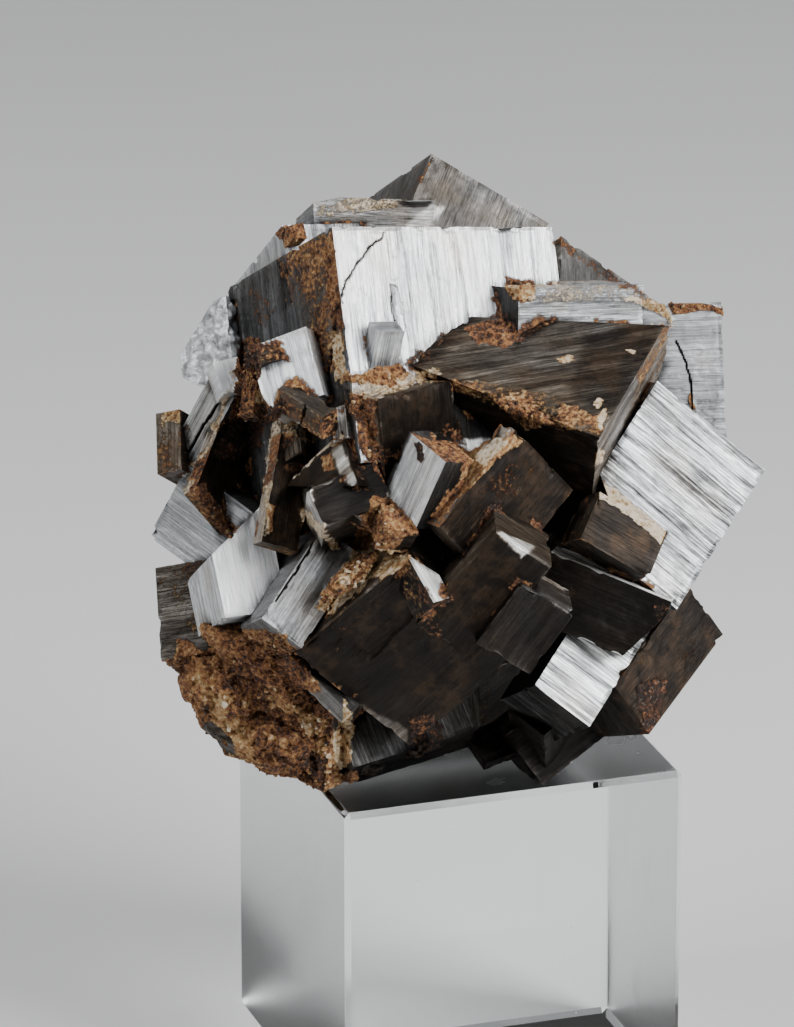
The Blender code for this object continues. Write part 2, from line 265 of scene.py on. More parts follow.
@dataclass(frozen=True)
class Lump:
    """A rounded mass of iron crust with its three radii and its turn in the view plane.

    Plump below 1 makes it smaller all round, so that the crystals stand out of it.
    """

    name: str
    centre: Place
    radii: tuple[float, float, float]
    turn: float = 0.0
    tone: Tone = Tone.DARK
    crust: float = 1.0
    plump: float = 1.0

    def local(self, places: np.ndarray) -> np.ndarray:
        """Give places in the lump's own frame, where its surface has a radius of one.

        Args:
            places: Rows of across, up and toward in millimetres.

        Returns:
            Rows in the lump's frame.
        """
        turn = math.radians(self.turn)
        away = places - SIGHT.in_depth(self.centre)
        across = away[:, 0] * math.cos(turn) + away[:, 1] * math.sin(turn)
        up = away[:, 1] * math.cos(turn) - away[:, 0] * math.sin(turn)
        return np.stack((across, up, away[:, 2]), axis=1) / (np.array(self.radii) * self.plump)

    def depth_inside(self, places: np.ndarray) -> np.ndarray:
        """Measure roughly how deep places lie inside the lump, negative outside."""
        distance = np.linalg.norm(self.local(places), axis=1)
        return (1.0 - distance) * min(self.radii) * self.plump

    def shaped(self, ball: np.ndarray) -> np.ndarray:
        """Stretch and turn a ball with a radius of one into the lump's shape.

        Args:
            ball: Rows of points on the ball.

        Returns:
            Rows of across, up and toward from the lump's centre in millimetres.
        """
        turn = math.radians(self.turn)
        sized = ball * np.array(self.radii) * self.plump
        across = sized[:, 0] * math.cos(turn) - sized[:, 1] * math.sin(turn)
        up = sized[:, 0] * math.sin(turn) + sized[:, 1] * math.cos(turn)
        return np.stack((across, up, sized[:, 2]), axis=1)


@dataclass(frozen=True)
class Zone:
    """A stretch of crust or of another tone on whatever the eye sees there.

    Its outline and the width of its soft rim are in pixels of the picture. Strength is how
    much crust lies there and ochre how pale it is, unless the zone only changes the tone,
    which is partly the faces' own colour and partly painted highlight and shade.
    Only names the crystals or faces that it is kept to.
    """

    outline: Line
    strength: float = 0.9
    ochre: float = 0.4
    tone: float | None = None
    soft: float = 5.0
    only: tuple[str, ...] = ()

    def cover(self, pixels: np.ndarray) -> np.ndarray:
        """Give how much of the zone lies at each seen place.

        Args:
            pixels: Rows of across and down in the picture.

        Returns:
            Share of the zone at each place, from 0 to 1.
        """
        corners = np.array(self.outline)
        low, high = corners.min(axis=0) - self.soft, corners.max(axis=0) + self.soft
        near = np.all((pixels > low) & (pixels < high), axis=1)
        share = np.zeros(len(pixels))
        if near.any():
            spots = pixels[near]
            gap = distance_to_line(spots, self.outline + self.outline[:1])
            gap = np.where(within(spots, self.outline), -gap, gap)
            share[near] = 1.0 - smooth(gap, -0.5 * self.soft, 0.5 * self.soft)
        return share


@dataclass(frozen=True)
class Crack:
    """A fissure cut along a line of the picture into the named crystals, with painted shade in it."""

    crystals: tuple[str, ...]
    line: Line
    width: float = 1.3
    depth: float = 0.3


@dataclass(frozen=True)
class Break:
    """A stretch of a crystal's first face whose upper layers are gone or added."""

    crystal: str
    outline: Line
    rise: float


# One letter for each tone, from dark to bright, to keep the table of crystals short
B, D, S, A, G, P, V, W = Tone

# Face tones are partly each face's own colour, partly painted sheen and shade
GROUPS: dict[str, tuple[Crystal, ...]] = {
    "top": (
        Crystal("crown", (-5.1, 14.3, 1.5), (-30, -148, 68), (10.3, 10.3, 10.3),
                Look((A, A, A), (0.03, 0.05, 0.05), (1, 2, 2), 0.5, streak=0.32)),
        Crystal("main", (-6.7, 0.5, 17.5), (1, 97, -153), (17.6, 17.0, 17.0),
                Look((W, S, S), (0.0, 0.1, 0.2), (1, 1, 0), 0.2, streak=0.8)),
        Crystal("top_slab", (-9.8, 10.0, 7.0), (-1, 92, -150), (9.0, 9.7, 4.5),
                Look((G, G, G), (0.1, 0.2, 0.2), (0, 2, 0), 0.35, streak=0.45),
                (Trim((-10.7, 18.4), 128.0), Trim((-8.2, 19.3), 102.0))),
        Crystal("orange_tip", (-11.6, 16.4, 9.0), (10, 104, -140), (1.2, 1.2, 2.0),
                Look((S, S, S), (0.9, 0.9, 0.9))),
        Crystal("left_strip", (-11.7, 12.2, 8.0), (2, 97, -133), (6.0, 5.6, 14.5),
                Look((V, P, P), (0.05, 0.1, 0.1), (1, 1, 2), 0.1, streak=0.5)),
        Crystal("step", (4.6, 13.0, 12.0), (3, 171, -91), (11.0, 5.0, 6.0),
                Look((P, D, P), (0.25, 0.1, 0.05), (0, 2, 0), 0.2, streak=0.7)),
        Crystal("step_cube", (-5.5, 9.9, 16.6), (2, -102, 130), (2.2, 3.4, 1.6),
                Look((V, P, P), (0.0, 0.05, 0.1), (1, 1, 0), 0.0, streak=0.6)),
    ),
    "right": (
        Crystal("right_back", (7.5, 10.0, 5.0), (88, -33, -150), (8.8, 11.6, 8.0),
                Look((G, A, A), (0.02, 0.05, 0.05), (0, 1, 2), 0.3, streak=0.25)),
        Crystal("pillar", (19.5, 1.4, 5.0), (92, -40, -178), (10.6, 2.3, 7.6),
                Look((G, S, P), (0.05, 0.1, 0.02), (0, 1, 2), 0.0, streak=0.45)),
        Crystal("table", (10.4, 2.3, 17.0), (59.0, 158.6, -96), (12.9, 14.5, 12.0),
                Look((S, B, G), (0.1, 0.03, 0.15), (1, 1, 0), 0.85, flaky=0.2, turn=-40.0),
                (Trim((6.1, 10.5), 87.5),)),
        Crystal("striated", (8.1, -3.6, 13.0), (57, -39, 190), (12.4, 10.5, 9.0),
                Look((P, G, G), (0.0, 0.2, 0.2), (1, 1, 2), 0.1, flaky=0.3, streak=1.35),
                (Trim((10.5, -1.4), 200.0),)),
        Crystal("brown_step", (9.0, -4.9, 14.8), (67, -30, 195), (3.8, 6.0, 3.0),
                Look((D, D, S), (0.03, 0.3, 0.3), (1, 1, 0), 0.9, streak=0.6)),
        Crystal("black_slab", (15.6, -9.4, 13.5), (157.5, -112, 40), (9.2, 5.0, 5.0),
                Look((B, S, W), (0.0, 0.1, 0.0), (0, 2, 0), 0.6),
                (Trim((11.2, -13.5), -47.0),)),
        Crystal("rust_right", (11.4, -15.4, 10.0), (-54, 52, 185), (4.8, 10.4, 7.0),
                Look((B, B, B), (0.18, 0.15, 0.15), (1, 1, 0), 1.0, streak=0.8)),
        Crystal("lower_white", (5.7, -15.4, 13.0), (-37, 57, 207), (5.0, 9.4, 7.0),
                Look((P, B, D), (0.0, 0.0, 0.0), (0, 2, 0), 0.1, streak=1.25)),
    ),
    "left": (
        Crystal("silver_lump", (-15.7, 5.9, 4.0), (-25, 96, -158), (8.0, 7.4, 4.6),
                Look((P, V, P), (0.0, 0.03, 0.03), (1, 2, 0), 0.05, True, streak=0.3),
                (Trim((-18.2, 10.4), 146, -15.0), Trim((-18.4, 6.1), -118.0))),
        Crystal("bright_chip", (-16.5, 5.4, 7.0), (15, 110, -130), (2.0, 2.5, 2.0),
                Look((W, W, W), (0.0, 0.0, 0.0), warm=0.0, streak=0.3)),
        Crystal("post", (-14.4, 4.1, 11.8), (84, 190, -42), (5.8, 1.2, 1.0),
                Look((S, D, D), (0.8, 0.5, 0.4), (0, 1, 0), 0.9)),
        Crystal("arm", (-13.8, 7.6, 14.0), (105, 12, -120), (1.4, 1.9, 1.8),
                Look((D, D, D), (0.45, 0.3, 0.3), (1, 1, 0), 0.9),
                (Trim((-12.5, 8.7), 62.0),)),
        Crystal("white_left", (-9.3, 5.4, 15.0), (-25, 105, -160), (4.0, 5.2, 4.5),
                Look((W, W, P), (0.05, 0.2, 0.3), (1, 1, 0), 0.05, streak=0.55)),
        Crystal("left_long", (-15.7, 5.2, 5.6), (144, -119, 10), (2.5, 7.2, 4.0),
                Look((P, S, S), (0.08, 0.2, 0.3), (1, 1, 2), 0.2, streak=0.6)),
        Crystal("left_sliver", (-19.5, 0.0, 5.0), (92, -170, -30), (4.6, 2.0, 4.0),
                Look((S, S, S), (0.3, 0.2, 0.4), (0, 1, 0), 0.9, streak=0.5)),
        Crystal("left_plate", (-14.4, -3.0, 6.0), (144, -119, 10), (6.2, 6.2, 8.0),
                Look((P, S, S), (0.0, 0.1, 0.1), (0, 1, 2), 0.0, streak=0.45)),
        Crystal("dark_plate", (-18.6, -1.6, 8.0), (70, -50, 188), (12.0, 6.0, 1.0),
                Look((B, S, P), (0.06, 0.6, 0.6), (0, 1, 0), 1.0)),
        Crystal("white_low", (-16.4, -10.6, 12.5), (102, 8, 215), (7.8, 4.8, 6.0),
                Look((W, P, V), (0.0, 0.05, 0.0), (0, 1, 0), 0.05, streak=0.5),
                (Trim((-16.2, -5.1), 135),)),
    ),
    "middle": (
        Crystal("blade", (-13.8, -5.1, 13.5), (80, -17, 200), (8.0, 3.0, 1.5),
                Look((B, S, P), (0.0, 0.4, 0.5), (0, 1, 0), 1.0, streak=0.6)),
        Crystal("roof", (-10.9, 1.3, 12.6), (98, -31, -150), (6.3, 5.9, 1.6),
                Look((S, D, S), (0.2, 0.3, 0.1), (0, 1, 0), 0.9)),
        Crystal("beam", (-9.5, 3.8, 17.4), (147, 28, -88), (4.8, 1.5, 2.0),
                Look((S, D, S), (0.04, 0.6, 0.5), (0, 0, 0), 0.8, streak=0.5)),
        Crystal("triangle", (-7.0, -1.1, 18.6), (104.5, -137.5, -15), (4.8, 7.0, 1.3),
                Look((D, D, B), (0.1, 0.2, 0.05), (1, 1, 0), 1.0, streak=0.6),
                (Trim((-10.0, -1.2), -90.0),)),
        Crystal("pale_bit", (-7.6, 2.3, 16.6), (95, -20, -160), (2.6, 1.0, 1.4),
                Look((V, P, V), (0.05, 0.2, 0.05), streak=0.6)),
        Crystal("dark_bit", (-7.2, 0.4, 15.0), (100, -10, -150), (2.0, 1.0, 3.0),
                Look((B, D, D), (0.05, 0.2, 0.2))),
        Crystal("dark_log", (-9.3, -4.1, 18.5), (22, 114, -100), (5.2, 3.1, 7.0),
                Look((B, P, S), (0.04, 0.2, 0.2), (0, 1, 0), 0.6, streak=0.6)),
        Crystal("light_slab", (-13.8, -10.6, 15.5), (-37, 57, 205), (3.6, 8.2, 5.0),
                Look((G, A, A), (0.04, 0.1, 0.1), (1, 2, 0), 0.15, streak=0.45)),
        Crystal("wedge", (-5.5, 5.1, 18.0), (14.6, 168, -84), (6.6, 3.5, 7.0),
                Look((G, G, B), (0.3, 0.4, 0.0), (0, 2, 2), 0.8, streak=0.6)),
        Crystal("white_log", (-0.6, 0.6, 21.0), (140, -114, 4), (4.0, 5.6, 3.0),
                Look((V, D, S), (0.02, 0.1, 0.5), (1, 1, 0), 0.15, streak=0.6)),
        Crystal("nest_cube", (-4.9, -4.2, 19.4), (98, -8, -120), (2.2, 2.5, 2.4),
                Look((G, D, G), (0.62, 0.1, 0.5), (0, 1, 0), 0.9)),
        Crystal("nest_chip", (-7.2, -3.2, 18.2), (70, -40, 178), (1.6, 2.4, 1.4),
                Look((P, S, S), (0.4, 0.5, 0.5), (1, 1, 0), 0.8)),
        Crystal("house", (-1.1, -4.1, 19.5), (52, -46, 160), (8.9, 7.0, 2.0),
                Look((B, S, P), (0.02, 0.3, 0.5), (0, 1, 0), 1.0, streak=0.7)),
    ),
    "bottom": (
        Crystal("lower_centre", (-3.2, -6.2, 18.0), (-140, -39, 92), (11.5, 11.5, 9.0),
                Look((B, D, S), (0.05, 0.15, 0.3), (0, 1, 0), 0.9, streak=0.7)),
        Crystal("small_white", (-1.5, -9.5, 19.1), (119, 16, -130), (3.8, 1.7, 2.8),
                Look((W, D, D), (0.06, 0.2, 0.3), (0, 1, 0), 0.3, streak=0.7),
                (Trim((-2.2, -6.7), 58.0),)),
        Crystal("slab_mid", (3.0, -4.5, 20.5), (-131, -33, 95), (9.2, 5.0, 5.0),
                Look((B, S, S), (0.02, 0.1, 0.2), (0, 1, 0), 0.9, streak=0.8)),
        Crystal("small_cube", (4.7, -8.1, 19.0), (-30, -126, 100), (4.6, 5.5, 4.0),
                Look((D, D, S), (0.02, 0.1, 0.1), (1, 1, 0), 0.5, streak=0.8)),
        Crystal("apron", (-7.2, -21.3, 7.6), (17, 112, -105), (9.6, 5.0, 3.4),
                Look((S, D, B), (0.03, 0.1, 0.1), (1, 2, 0), 0.2, streak=0.8)),
        Crystal("ledge", (-7.4, -17.3, 12.6), (137, -128, 35), (6.2, 1.3, 1.5),
                Look((A, S, S), (0.1, 0.1, 0.1), (0, 1, 0), 0.3, streak=0.5)),
        Crystal("foot", (3.6, -18.9, 5.8), (-54, 38, 160), (4.7, 7.0, 5.0),
                Look((B, B, B), (0.0, 0.0, 0.0))),
        Crystal("foot_left", (2.3, -21.0, 4.6), (125, 20, -110), (3.0, 4.0, 0.9),
                Look((B, B, B), (0.0, 0.0, 0.0))),
        Crystal("dark_wedge", (6.4, -19.0, 8.0), (143, 40, -85), (3.6, 4.0, 4.0),
                Look((B, B, D), (0.0, 0.0, 0.0))),
        Crystal("rust_big", (-8.4, -16.4, 9.4), (155, -98, 25), (11.0, 7.6, 9.0),
                Look((S, D, S), (1.0, 0.15, 0.2), (0, 1, 0), 0.6)),
        Crystal("rust_base", (-12.2, -15.7, 10.3), (168, -64, 50), (10.3, 9.2, 9.0),
                Look((S, S, S), (1.0, 0.8, 0.9), (0, 1, 0))),
        Crystal("rust_left", (-16.7, -12.9, 7.0), (94, -40, -170), (7.0, 6.0, 4.6),
                Look((G, S, S), (0.25, 0.6, 0.3), (0, 1, 2))),
    ),
    "far": (
        Crystal("heart", (1.0, 1.0, -20.0), (75, 200, -45), (14.5, 15.0, 14.0),
                Look((V, G, D), (0.1, 0.2, 0.3), streak=0.7), (), True),
        Crystal("far_right", (11.0, 3.0, -16.0), (95, 215, -30), (9.5, 11.0, 9.0),
                Look((S, P, G), (0.3, 0.1, 0.3)), (), True),
        Crystal("far_top", (3.0, 11.0, -15.0), (60, 175, -70), (9.0, 10.0, 11.0),
                Look((P, S, G), (0.1, 0.35, 0.1), streak=0.7), (), True),
        Crystal("far_left", (-9.0, 7.0, -15.5), (110, 225, -10), (9.0, 10.0, 11.0),
                Look((G, V, S), (0.2, 0.1, 0.4)), (), True),
        Crystal("far_side", (-11.0, -4.0, -14.0), (75, 190, -60), (9.5, 8.5, 9.0),
                Look((S, G, P), (0.4, 0.3, 0.1), streak=0.7), (), True),
        Crystal("far_low", (-3.0, -9.0, -14.0), (100, 205, -35), (9.0, 8.0, 9.5),
                Look((D, S, G), (0.4, 0.4, 0.2)), (), True),
        Crystal("far_foot", (8.0, -8.0, -13.5), (65, 185, -50), (9.0, 9.0, 8.0),
                Look((G, D, S), (0.1, 0.4, 0.3)), (), True),
        Crystal("far_rest", (1.5, -13.6, -11.5), (95, 215, -25), (9.0, 8.0, 8.0),
                Look((D, D, S), (0.3, 0.3, 0.3)), (), True),
    ),
}

CRYSTALS = tuple(crystal for group in GROUPS.values() for crystal in group)

LUMPS = (
    Lump("rust_corner", (-16.4, -15.6, 4.6), (2.8, 3.4, 3.6), 30.0),
    Lump("rust_bottom", (-12.2, -19.6, 4.4), (3.8, 2.2, 3.2), -10.0),
    Lump("rust_shelf", (-13.6, -13.2, 8.6), (4.6, 1.7, 2.0), -25.0),
    Lump("rust_apron", (-5.9, -20.9, 5.6), (2.6, 1.7, 2.6), 15.0, Tone.BLACK, 0.35, 0.45),
    Lump("rust_under", (-2.6, -19.9, 5.4), (2.6, 1.5, 2.6), 20.0, Tone.BLACK, 0.2, 0.45),
    Lump("column", (-14.4, 6.4, 9.6), (1.0, 3.1, 2.2), 5.0, Tone.DARK, 1.0, 0.5),
    Lump("seam", (-7.5, -7.6, 15.3), (4.2, 1.1, 1.8), 40.0, Tone.DARK, 1.0, 0.55),
    Lump("sill", (5.2, 4.1, 15.9), (4.2, 0.8, 1.2), -22.0, Tone.DARK, 0.8, 0.5),
    Lump("pillar_cap", (17.6, 11.5, 3.2), (1.5, 0.5, 1.5), 0.0, Tone.DARK, 1.0, 0.4),
    Lump("nest", (-4.3, -4.2, 16.0), (1.9, 1.9, 2.0), 0.0, Tone.DARK, 1.0, 0.7),
    Lump("far_knob", (4.5, 12.2, -10.4), (3.2, 2.6, 3.0), -30.0, plump=0.55),
)

SPECKS = (
    ((558, 357), (572, 354), (574, 360), (562, 363)),
    ((626, 349), (637, 350), (636, 354), (628, 353)),
    ((594, 402), (602, 396), (604, 402), (597, 408)),
    ((508, 396), (516, 395), (515, 400), (509, 400)),
    ((598, 424), (603, 410), (608, 400), (607, 412), (602, 430)),
)

ZONES = (
    # Top and left of the main crystal
    Zone(((274, 246), (345, 226), (345, 392), (328, 372), (316, 343), (292, 308), (279, 273)),
         0.6, 0.40, soft=9.0, only=("main 1",)),
    Zone(((326, 234), (345, 228), (345, 330), (334, 330), (328, 290)), 0.8, 0.36, only=("main 1",)),
    Zone(((246, 292), (262, 284), (272, 300), (270, 330), (256, 326)), 0.5, 0.25, soft=14.0),
    Zone(((330, 330), (341, 334), (347, 376), (334, 384)), 0.8, 0.75, soft=4.0),
    Zone(((344, 366), (352, 376), (372, 372), (400, 362), (410, 372), (396, 384), (352, 384),
          (340, 384)), 0.85, 0.5),
    Zone(((428, 158), (436, 160), (420, 186), (408, 196)), 0.6, 0.3, soft=8.0),
    Zone(((318, 205), (350, 196), (400, 198), (430, 203), (420, 209), (350, 212), (310, 222)),
         0.55, 0.85, soft=5.0),
    Zone(((272, 230), (286, 224), (300, 232), (290, 246)), 0.9, 0.3),
    Zone(((391, 284), (397, 284), (401, 330), (396, 330)), tone=0.5, soft=2.0),
    Zone(((553, 232), (600, 262), (650, 292), (646, 300), (590, 270), (556, 246)), 0.6, 0.2),
    Zone(((400, 201), (433, 200), (431, 206), (404, 207)), tone=0.02, soft=3.0),
    Zone(((404, 228), (432, 204), (446, 207), (428, 229)), tone=0.66, soft=3.0),
    # Right
    Zone(((500, 275), (560, 274), (655, 284), (662, 306), (600, 302), (540, 302), (515, 298)),
         0.52, 0.95, only=("step",)),
    Zone(((506, 276), (534, 280), (536, 300), (520, 304), (508, 294)), 0.9, 0.3, soft=3.0),
    Zone(((620, 296), (662, 300), (676, 322), (668, 318)), 0.8, 0.75, soft=3.0),
    Zone(((466, 326), (500, 318), (528, 338), (505, 347), (476, 342)), 0.95, 0.32, soft=4.0),
    Zone(((452, 378), (500, 382), (545, 390), (604, 420), (606, 437), (560, 428), (522, 431),
          (500, 412), (470, 400), (450, 392)), 0.62, 0.5),
    Zone(((410, 336), (460, 336), (560, 380), (600, 410), (540, 392), (450, 378), (404, 366)),
         0.3, 0.2, soft=16.0),
    Zone(((668, 318), (676, 336), (650, 400), (622, 470), (598, 520), (600, 480), (640, 380)),
         0.46, 0.35, only=("table",)),
    Zone(((664, 322), (674, 326), (656, 362), (644, 384), (638, 376)), 0.6, 0.42, soft=3.0,
         only=("table",)),
    Zone(((420, 340), (640, 310), (600, 380), (590, 415), (500, 385)), 0.3, 0.25, soft=16.0,
         only=("table 0",)),
    Zone(((585, 335), (665, 322), (640, 384), (604, 412), (570, 392)), tone=0.17, soft=10.0,
         only=("table 0",)),
    Zone(((670, 303), (700, 304), (728, 307), (729, 314), (700, 311), (674, 314)), 0.95, 0.4,
         soft=3.0),
    Zone(((689, 392), (695, 396), (697, 412), (691, 408)), 0.7, 0.45, soft=3.0),
    Zone(((600, 480), (622, 494), (650, 514), (668, 532), (662, 546), (634, 518), (600, 498)),
         0.85, 1.0, soft=3.0, only=("brown_step", "striated")),
    Zone(((640, 546), (664, 534), (676, 560), (674, 600), (650, 576)), tone=0.74, soft=3.0,
         only=("striated",)),
    Zone(((556, 538), (575, 545), (640, 560), (672, 596), (664, 598), (632, 572), (556, 552)),
         tone=0.9, soft=2.5, only=("black_slab", "striated")),
    Zone(((466, 378), (500, 382), (520, 392), (500, 398), (470, 392)), 0.6, 0.95),
    *(Zone(speck, 1.0, 1.0, soft=1.2) for speck in SPECKS),
    Zone(((596, 456), (604, 446), (603, 462), (597, 466)), 0.9, 1.0, soft=1.2),
    Zone(((640, 680), (668, 680), (662, 738), (640, 736)), 0.8, 0.08),
    Zone(((650, 600), (690, 600), (725, 640), (700, 680), (650, 735)), 0.42, 0.06, soft=16.0),
    # Left
    Zone(((240, 340), (262, 338), (262, 372), (252, 398), (250, 420), (232, 424), (234, 398)),
         1.0, 0.2),
    Zone(((250, 402), (272, 406), (283, 398), (281, 420), (256, 424)), 0.95, 0.12),
    Zone(((252, 384), (262, 384), (268, 404), (252, 404)), 0.7, 0.6),
    Zone(((232, 420), (264, 420), (262, 445), (240, 462), (212, 460), (218, 438)), 0.66, 0.06,
         soft=9.0),
    Zone(((190, 485), (206, 484), (222, 505), (236, 525), (234, 541), (212, 520)), 0.95, 0.25),
    Zone(((240, 368), (228, 410), (206, 452), (196, 488), (182, 496), (190, 470), (204, 444),
          (220, 404), (232, 368)), 0.66, 0.95),
    Zone(((158, 410), (184, 400), (182, 420), (160, 430)), 0.7, 0.6),
    Zone(((160, 430), (178, 425), (172, 470), (160, 500)), 0.5, 0.35, soft=9.0),
    # Middle
    Zone(((272, 386), (300, 394), (322, 412), (326, 430), (312, 448), (298, 438), (278, 430)),
         0.5, 0.7, soft=3.0),
    Zone(((302, 412), (312, 412), (318, 440), (306, 446), (300, 434)), 0.5, 0.95, soft=3.0),
    Zone(((293, 424), (301, 422), (300, 432), (296, 432)), tone=0.6, soft=2.0),
    Zone(((283, 418), (277, 450), (271, 500), (264, 542), (257, 535), (262, 480), (272, 426)),
         0.6, 0.9),
    Zone(((266, 500), (276, 506), (274, 530), (265, 536)), 0.8, 0.5),
    Zone(((284, 486), (338, 430), (346, 436), (322, 452), (292, 480)), 0.8, 1.0, soft=2.5,
         only=("triangle",)),
    Zone(((320, 456), (332, 452), (337, 470), (326, 472)), 0.8, 0.5, soft=3.0, only=("triangle",)),
    Zone(((330, 449), (340, 442), (358, 480), (353, 488), (341, 476)), tone=0.86, soft=2.0,
         only=("triangle",)),
    Zone(((303, 492), (313, 486), (314, 500), (308, 512)), tone=0.8, soft=3.0),
    Zone(((303, 510), (312, 512), (342, 547), (334, 549), (305, 522)), 0.66, 0.9, soft=3.0),
    Zone(((347, 392), (372, 398), (378, 440), (388, 488), (360, 446)), 0.92, 0.3),
    Zone(((345, 392), (380, 378), (442, 364), (444, 374), (400, 392), (358, 402)), 0.6, 0.9),
    # Painted shade over the wedge's front face and the gap beside it
    Zone(((374, 400), (396, 392), (446, 380), (434, 430), (412, 430), (388, 488)), tone=0.09),
    Zone(((428, 430), (472, 452), (468, 462), (442, 458), (434, 442)), 0.85, 0.4),
    Zone(((416, 444), (424, 444), (423, 458), (416, 456)), 1.0, 0.1),
    Zone(((466, 450), (515, 431), (525, 442), (500, 460), (478, 480), (448, 512), (437, 523),
          (431, 514), (462, 478)), 0.72, 0.5),
    Zone(((468, 454), (500, 436), (512, 440), (484, 466)), 0.8, 0.95, soft=4.0, only=("house",)),
    Zone(((484, 480), (520, 455), (548, 466), (520, 500), (466, 512)), 0.5, 0.1, soft=16.0),
    Zone(((372, 496), (388, 494), (421, 532), (400, 542), (375, 560), (350, 556), (362, 520)),
         0.9, 0.42),
    Zone(((352, 548), (378, 548), (410, 556), (396, 572), (372, 580), (350, 600), (332, 614),
          (316, 606), (338, 578)), 0.95, 0.78),
    # Painted highlight on the dark slab
    Zone(((497, 531), (537, 545), (523, 558)), tone=0.93, soft=1.5, only=("slab_mid",)),
    # Painted shade on the table's downward-facing front
    Zone(((450, 396), (500, 412), (500, 438), (436, 440)), tone=0.07),
    # Bottom
    Zone(((326, 634), (345, 634), (363, 652), (352, 668), (333, 652)), 0.46, 0.35, soft=14.0),
    Zone(((303, 642), (330, 612), (350, 626), (346, 662), (318, 662)), 0.42, 0.1, soft=14.0),
    Zone(((410, 714), (438, 712), (448, 740), (430, 762), (410, 742)), 0.62, 0.1),
    Zone(((416, 568), (432, 588), (437, 606), (424, 608), (414, 590)), 0.5, 0.15),
    Zone(((413, 622), (440, 616), (456, 658), (430, 646)), 0.44, 0.2, soft=12.0),
    Zone(((224, 500), (300, 500), (300, 625), (224, 625)), tone=1.0, only=("white_low 0",)),
    Zone(((222, 625), (285, 635), (322, 690), (250, 702), (218, 672)), 1.0, 0.34, soft=12.0),
    Zone(((180, 635), (200, 650), (224, 668), (226, 700), (190, 690), (178, 660)), 0.9, 0.4),
    Zone(((186, 668), (230, 690), (330, 715), (342, 795), (236, 775)), 1.0, 0.62, soft=20.0),
    Zone(((200, 722), (212, 722), (232, 738), (240, 768), (226, 766)), tone=0.24, soft=4.0),
    Zone(((352, 700), (409, 730), (407, 748), (358, 770)), tone=0.36, soft=3.0),
    Zone(((344, 700), (354, 710), (352, 762), (340, 770), (332, 745), (344, 722)), 0.9, 0.75),
    Zone(((345, 770), (480, 742), (482, 760), (344, 796)), tone=0.03),
    Zone(((340, 775), (358, 772), (356, 792), (340, 792)), 0.9, 0.4),
    Zone(((160, 552), (200, 570), (202, 640), (176, 640), (162, 600)), 0.4, 0.3, soft=14.0),
)

CRACKS = (
    Crack(("main",), ((386, 231), (384, 238), (372, 246), (362, 258), (359, 262), (347, 280),
                      (345, 293)), 0.6, 0.16),
    Crack(("main",), ((345, 293), (338, 306), (335, 325), (331, 350), (327, 376), (320, 400)), 1.0),
    Crack(("main",), ((391, 283), (393, 305), (397, 330)), 0.5, 0.12),
    Crack(("pillar",), ((676, 342), (683, 354), (690, 372), (693, 392), (694, 412)), 0.6, 0.2),
    Crack(("light_slab",), ((316, 535), (309, 552), (300, 565), (288, 586), (277, 600)), 0.7, 0.2),
    Crack(("rust_big",), ((337, 700), (345, 725), (351, 760)), 3.0, 0.7),
    Crack(("roof", "beam"), ((304, 405), (303, 418), (298, 430), (299, 437)), 0.9),
    Crack(("left_long",), ((222, 396), (196, 440), (172, 472)), 0.8),
)

BREAKS = (
    Break("main", ((391, 283), (397, 330), (408, 331), (399, 283)), -0.12),
    Break("lower_centre", ((410, 560), (340, 640), (372, 660), (430, 600)), -0.2),
)

CELL_PRIMES = (374761393, 668265263, 2147483629)
SEED_PRIME = 974634777
MIX_PRIME = 1274126177
WORD = 0xFFFFFFFF
HALF_WORD = 0xFFFF


def lattice(cells: np.ndarray, seed: int) -> np.ndarray:
    """Give an even random number for each cell of a grid.

    Args:
        cells: Rows of whole numbers, one row for each cell.
        seed: Number that picks the pattern.

    Returns:
        Numbers from 0 to 1.
    """
    mixed = sum(cells[:, axis] * prime for axis, prime in enumerate(CELL_PRIMES))
    mixed = (mixed + seed * SEED_PRIME) & WORD
    mixed = ((mixed ^ (mixed >> 13)) * MIX_PRIME) & WORD
    return ((mixed ^ (mixed >> 16)) & HALF_WORD) / HALF_WORD


def noise(places: np.ndarray, seed: int) -> np.ndarray:
    """Give smooth noise with features about one unit wide.

    Args:
        places: Rows of three coordinates.
        seed: Number that picks the pattern.

    Returns:
        Noise from 0 to 1 at each place.
    """
    floor = np.floor(places)
    part = places - floor
    part = part * part * (3.0 - 2.0 * part)
    cells = floor.astype(np.int64)
    total = np.zeros(len(places))
    for corner in np.ndindex(2, 2, 2):
        weight = np.prod(np.where(corner, part, 1.0 - part), axis=1)
        total += weight * lattice(cells + np.array(corner), seed)
    return total


def rough_noise(places: np.ndarray, seed: int, octaves: int = 3) -> np.ndarray:
    """Add up noise of ever finer grain.

    Args:
        places: Rows of three coordinates.
        seed: Number that picks the pattern.
        octaves: How many grains are added, each half as wide and as high.

    Returns:
        Noise from 0 to 1 at each place.
    """
    total = np.zeros(len(places))
    weight = 0.0
    for octave in range(octaves):
        share = 0.5**octave
        total += share * noise(places * 2.0**octave, seed + octave)
        weight += share
    return total / weight


def ragged(places: np.ndarray, size: float) -> np.ndarray:
    """Give a random shift across and down at each place, so that outlines aren't smooth."""
    return np.stack([rough_noise(places / size, seed) - 0.5 for seed in (5, 9)], axis=1)


def smooth(values: np.ndarray, low: float, high: float) -> np.ndarray:
    """Ease values from 0 at the low end to 1 at the high end."""
    part = np.clip((values - low) / (high - low), 0.0, 1.0)
    return part * part * (3.0 - 2.0 * part)


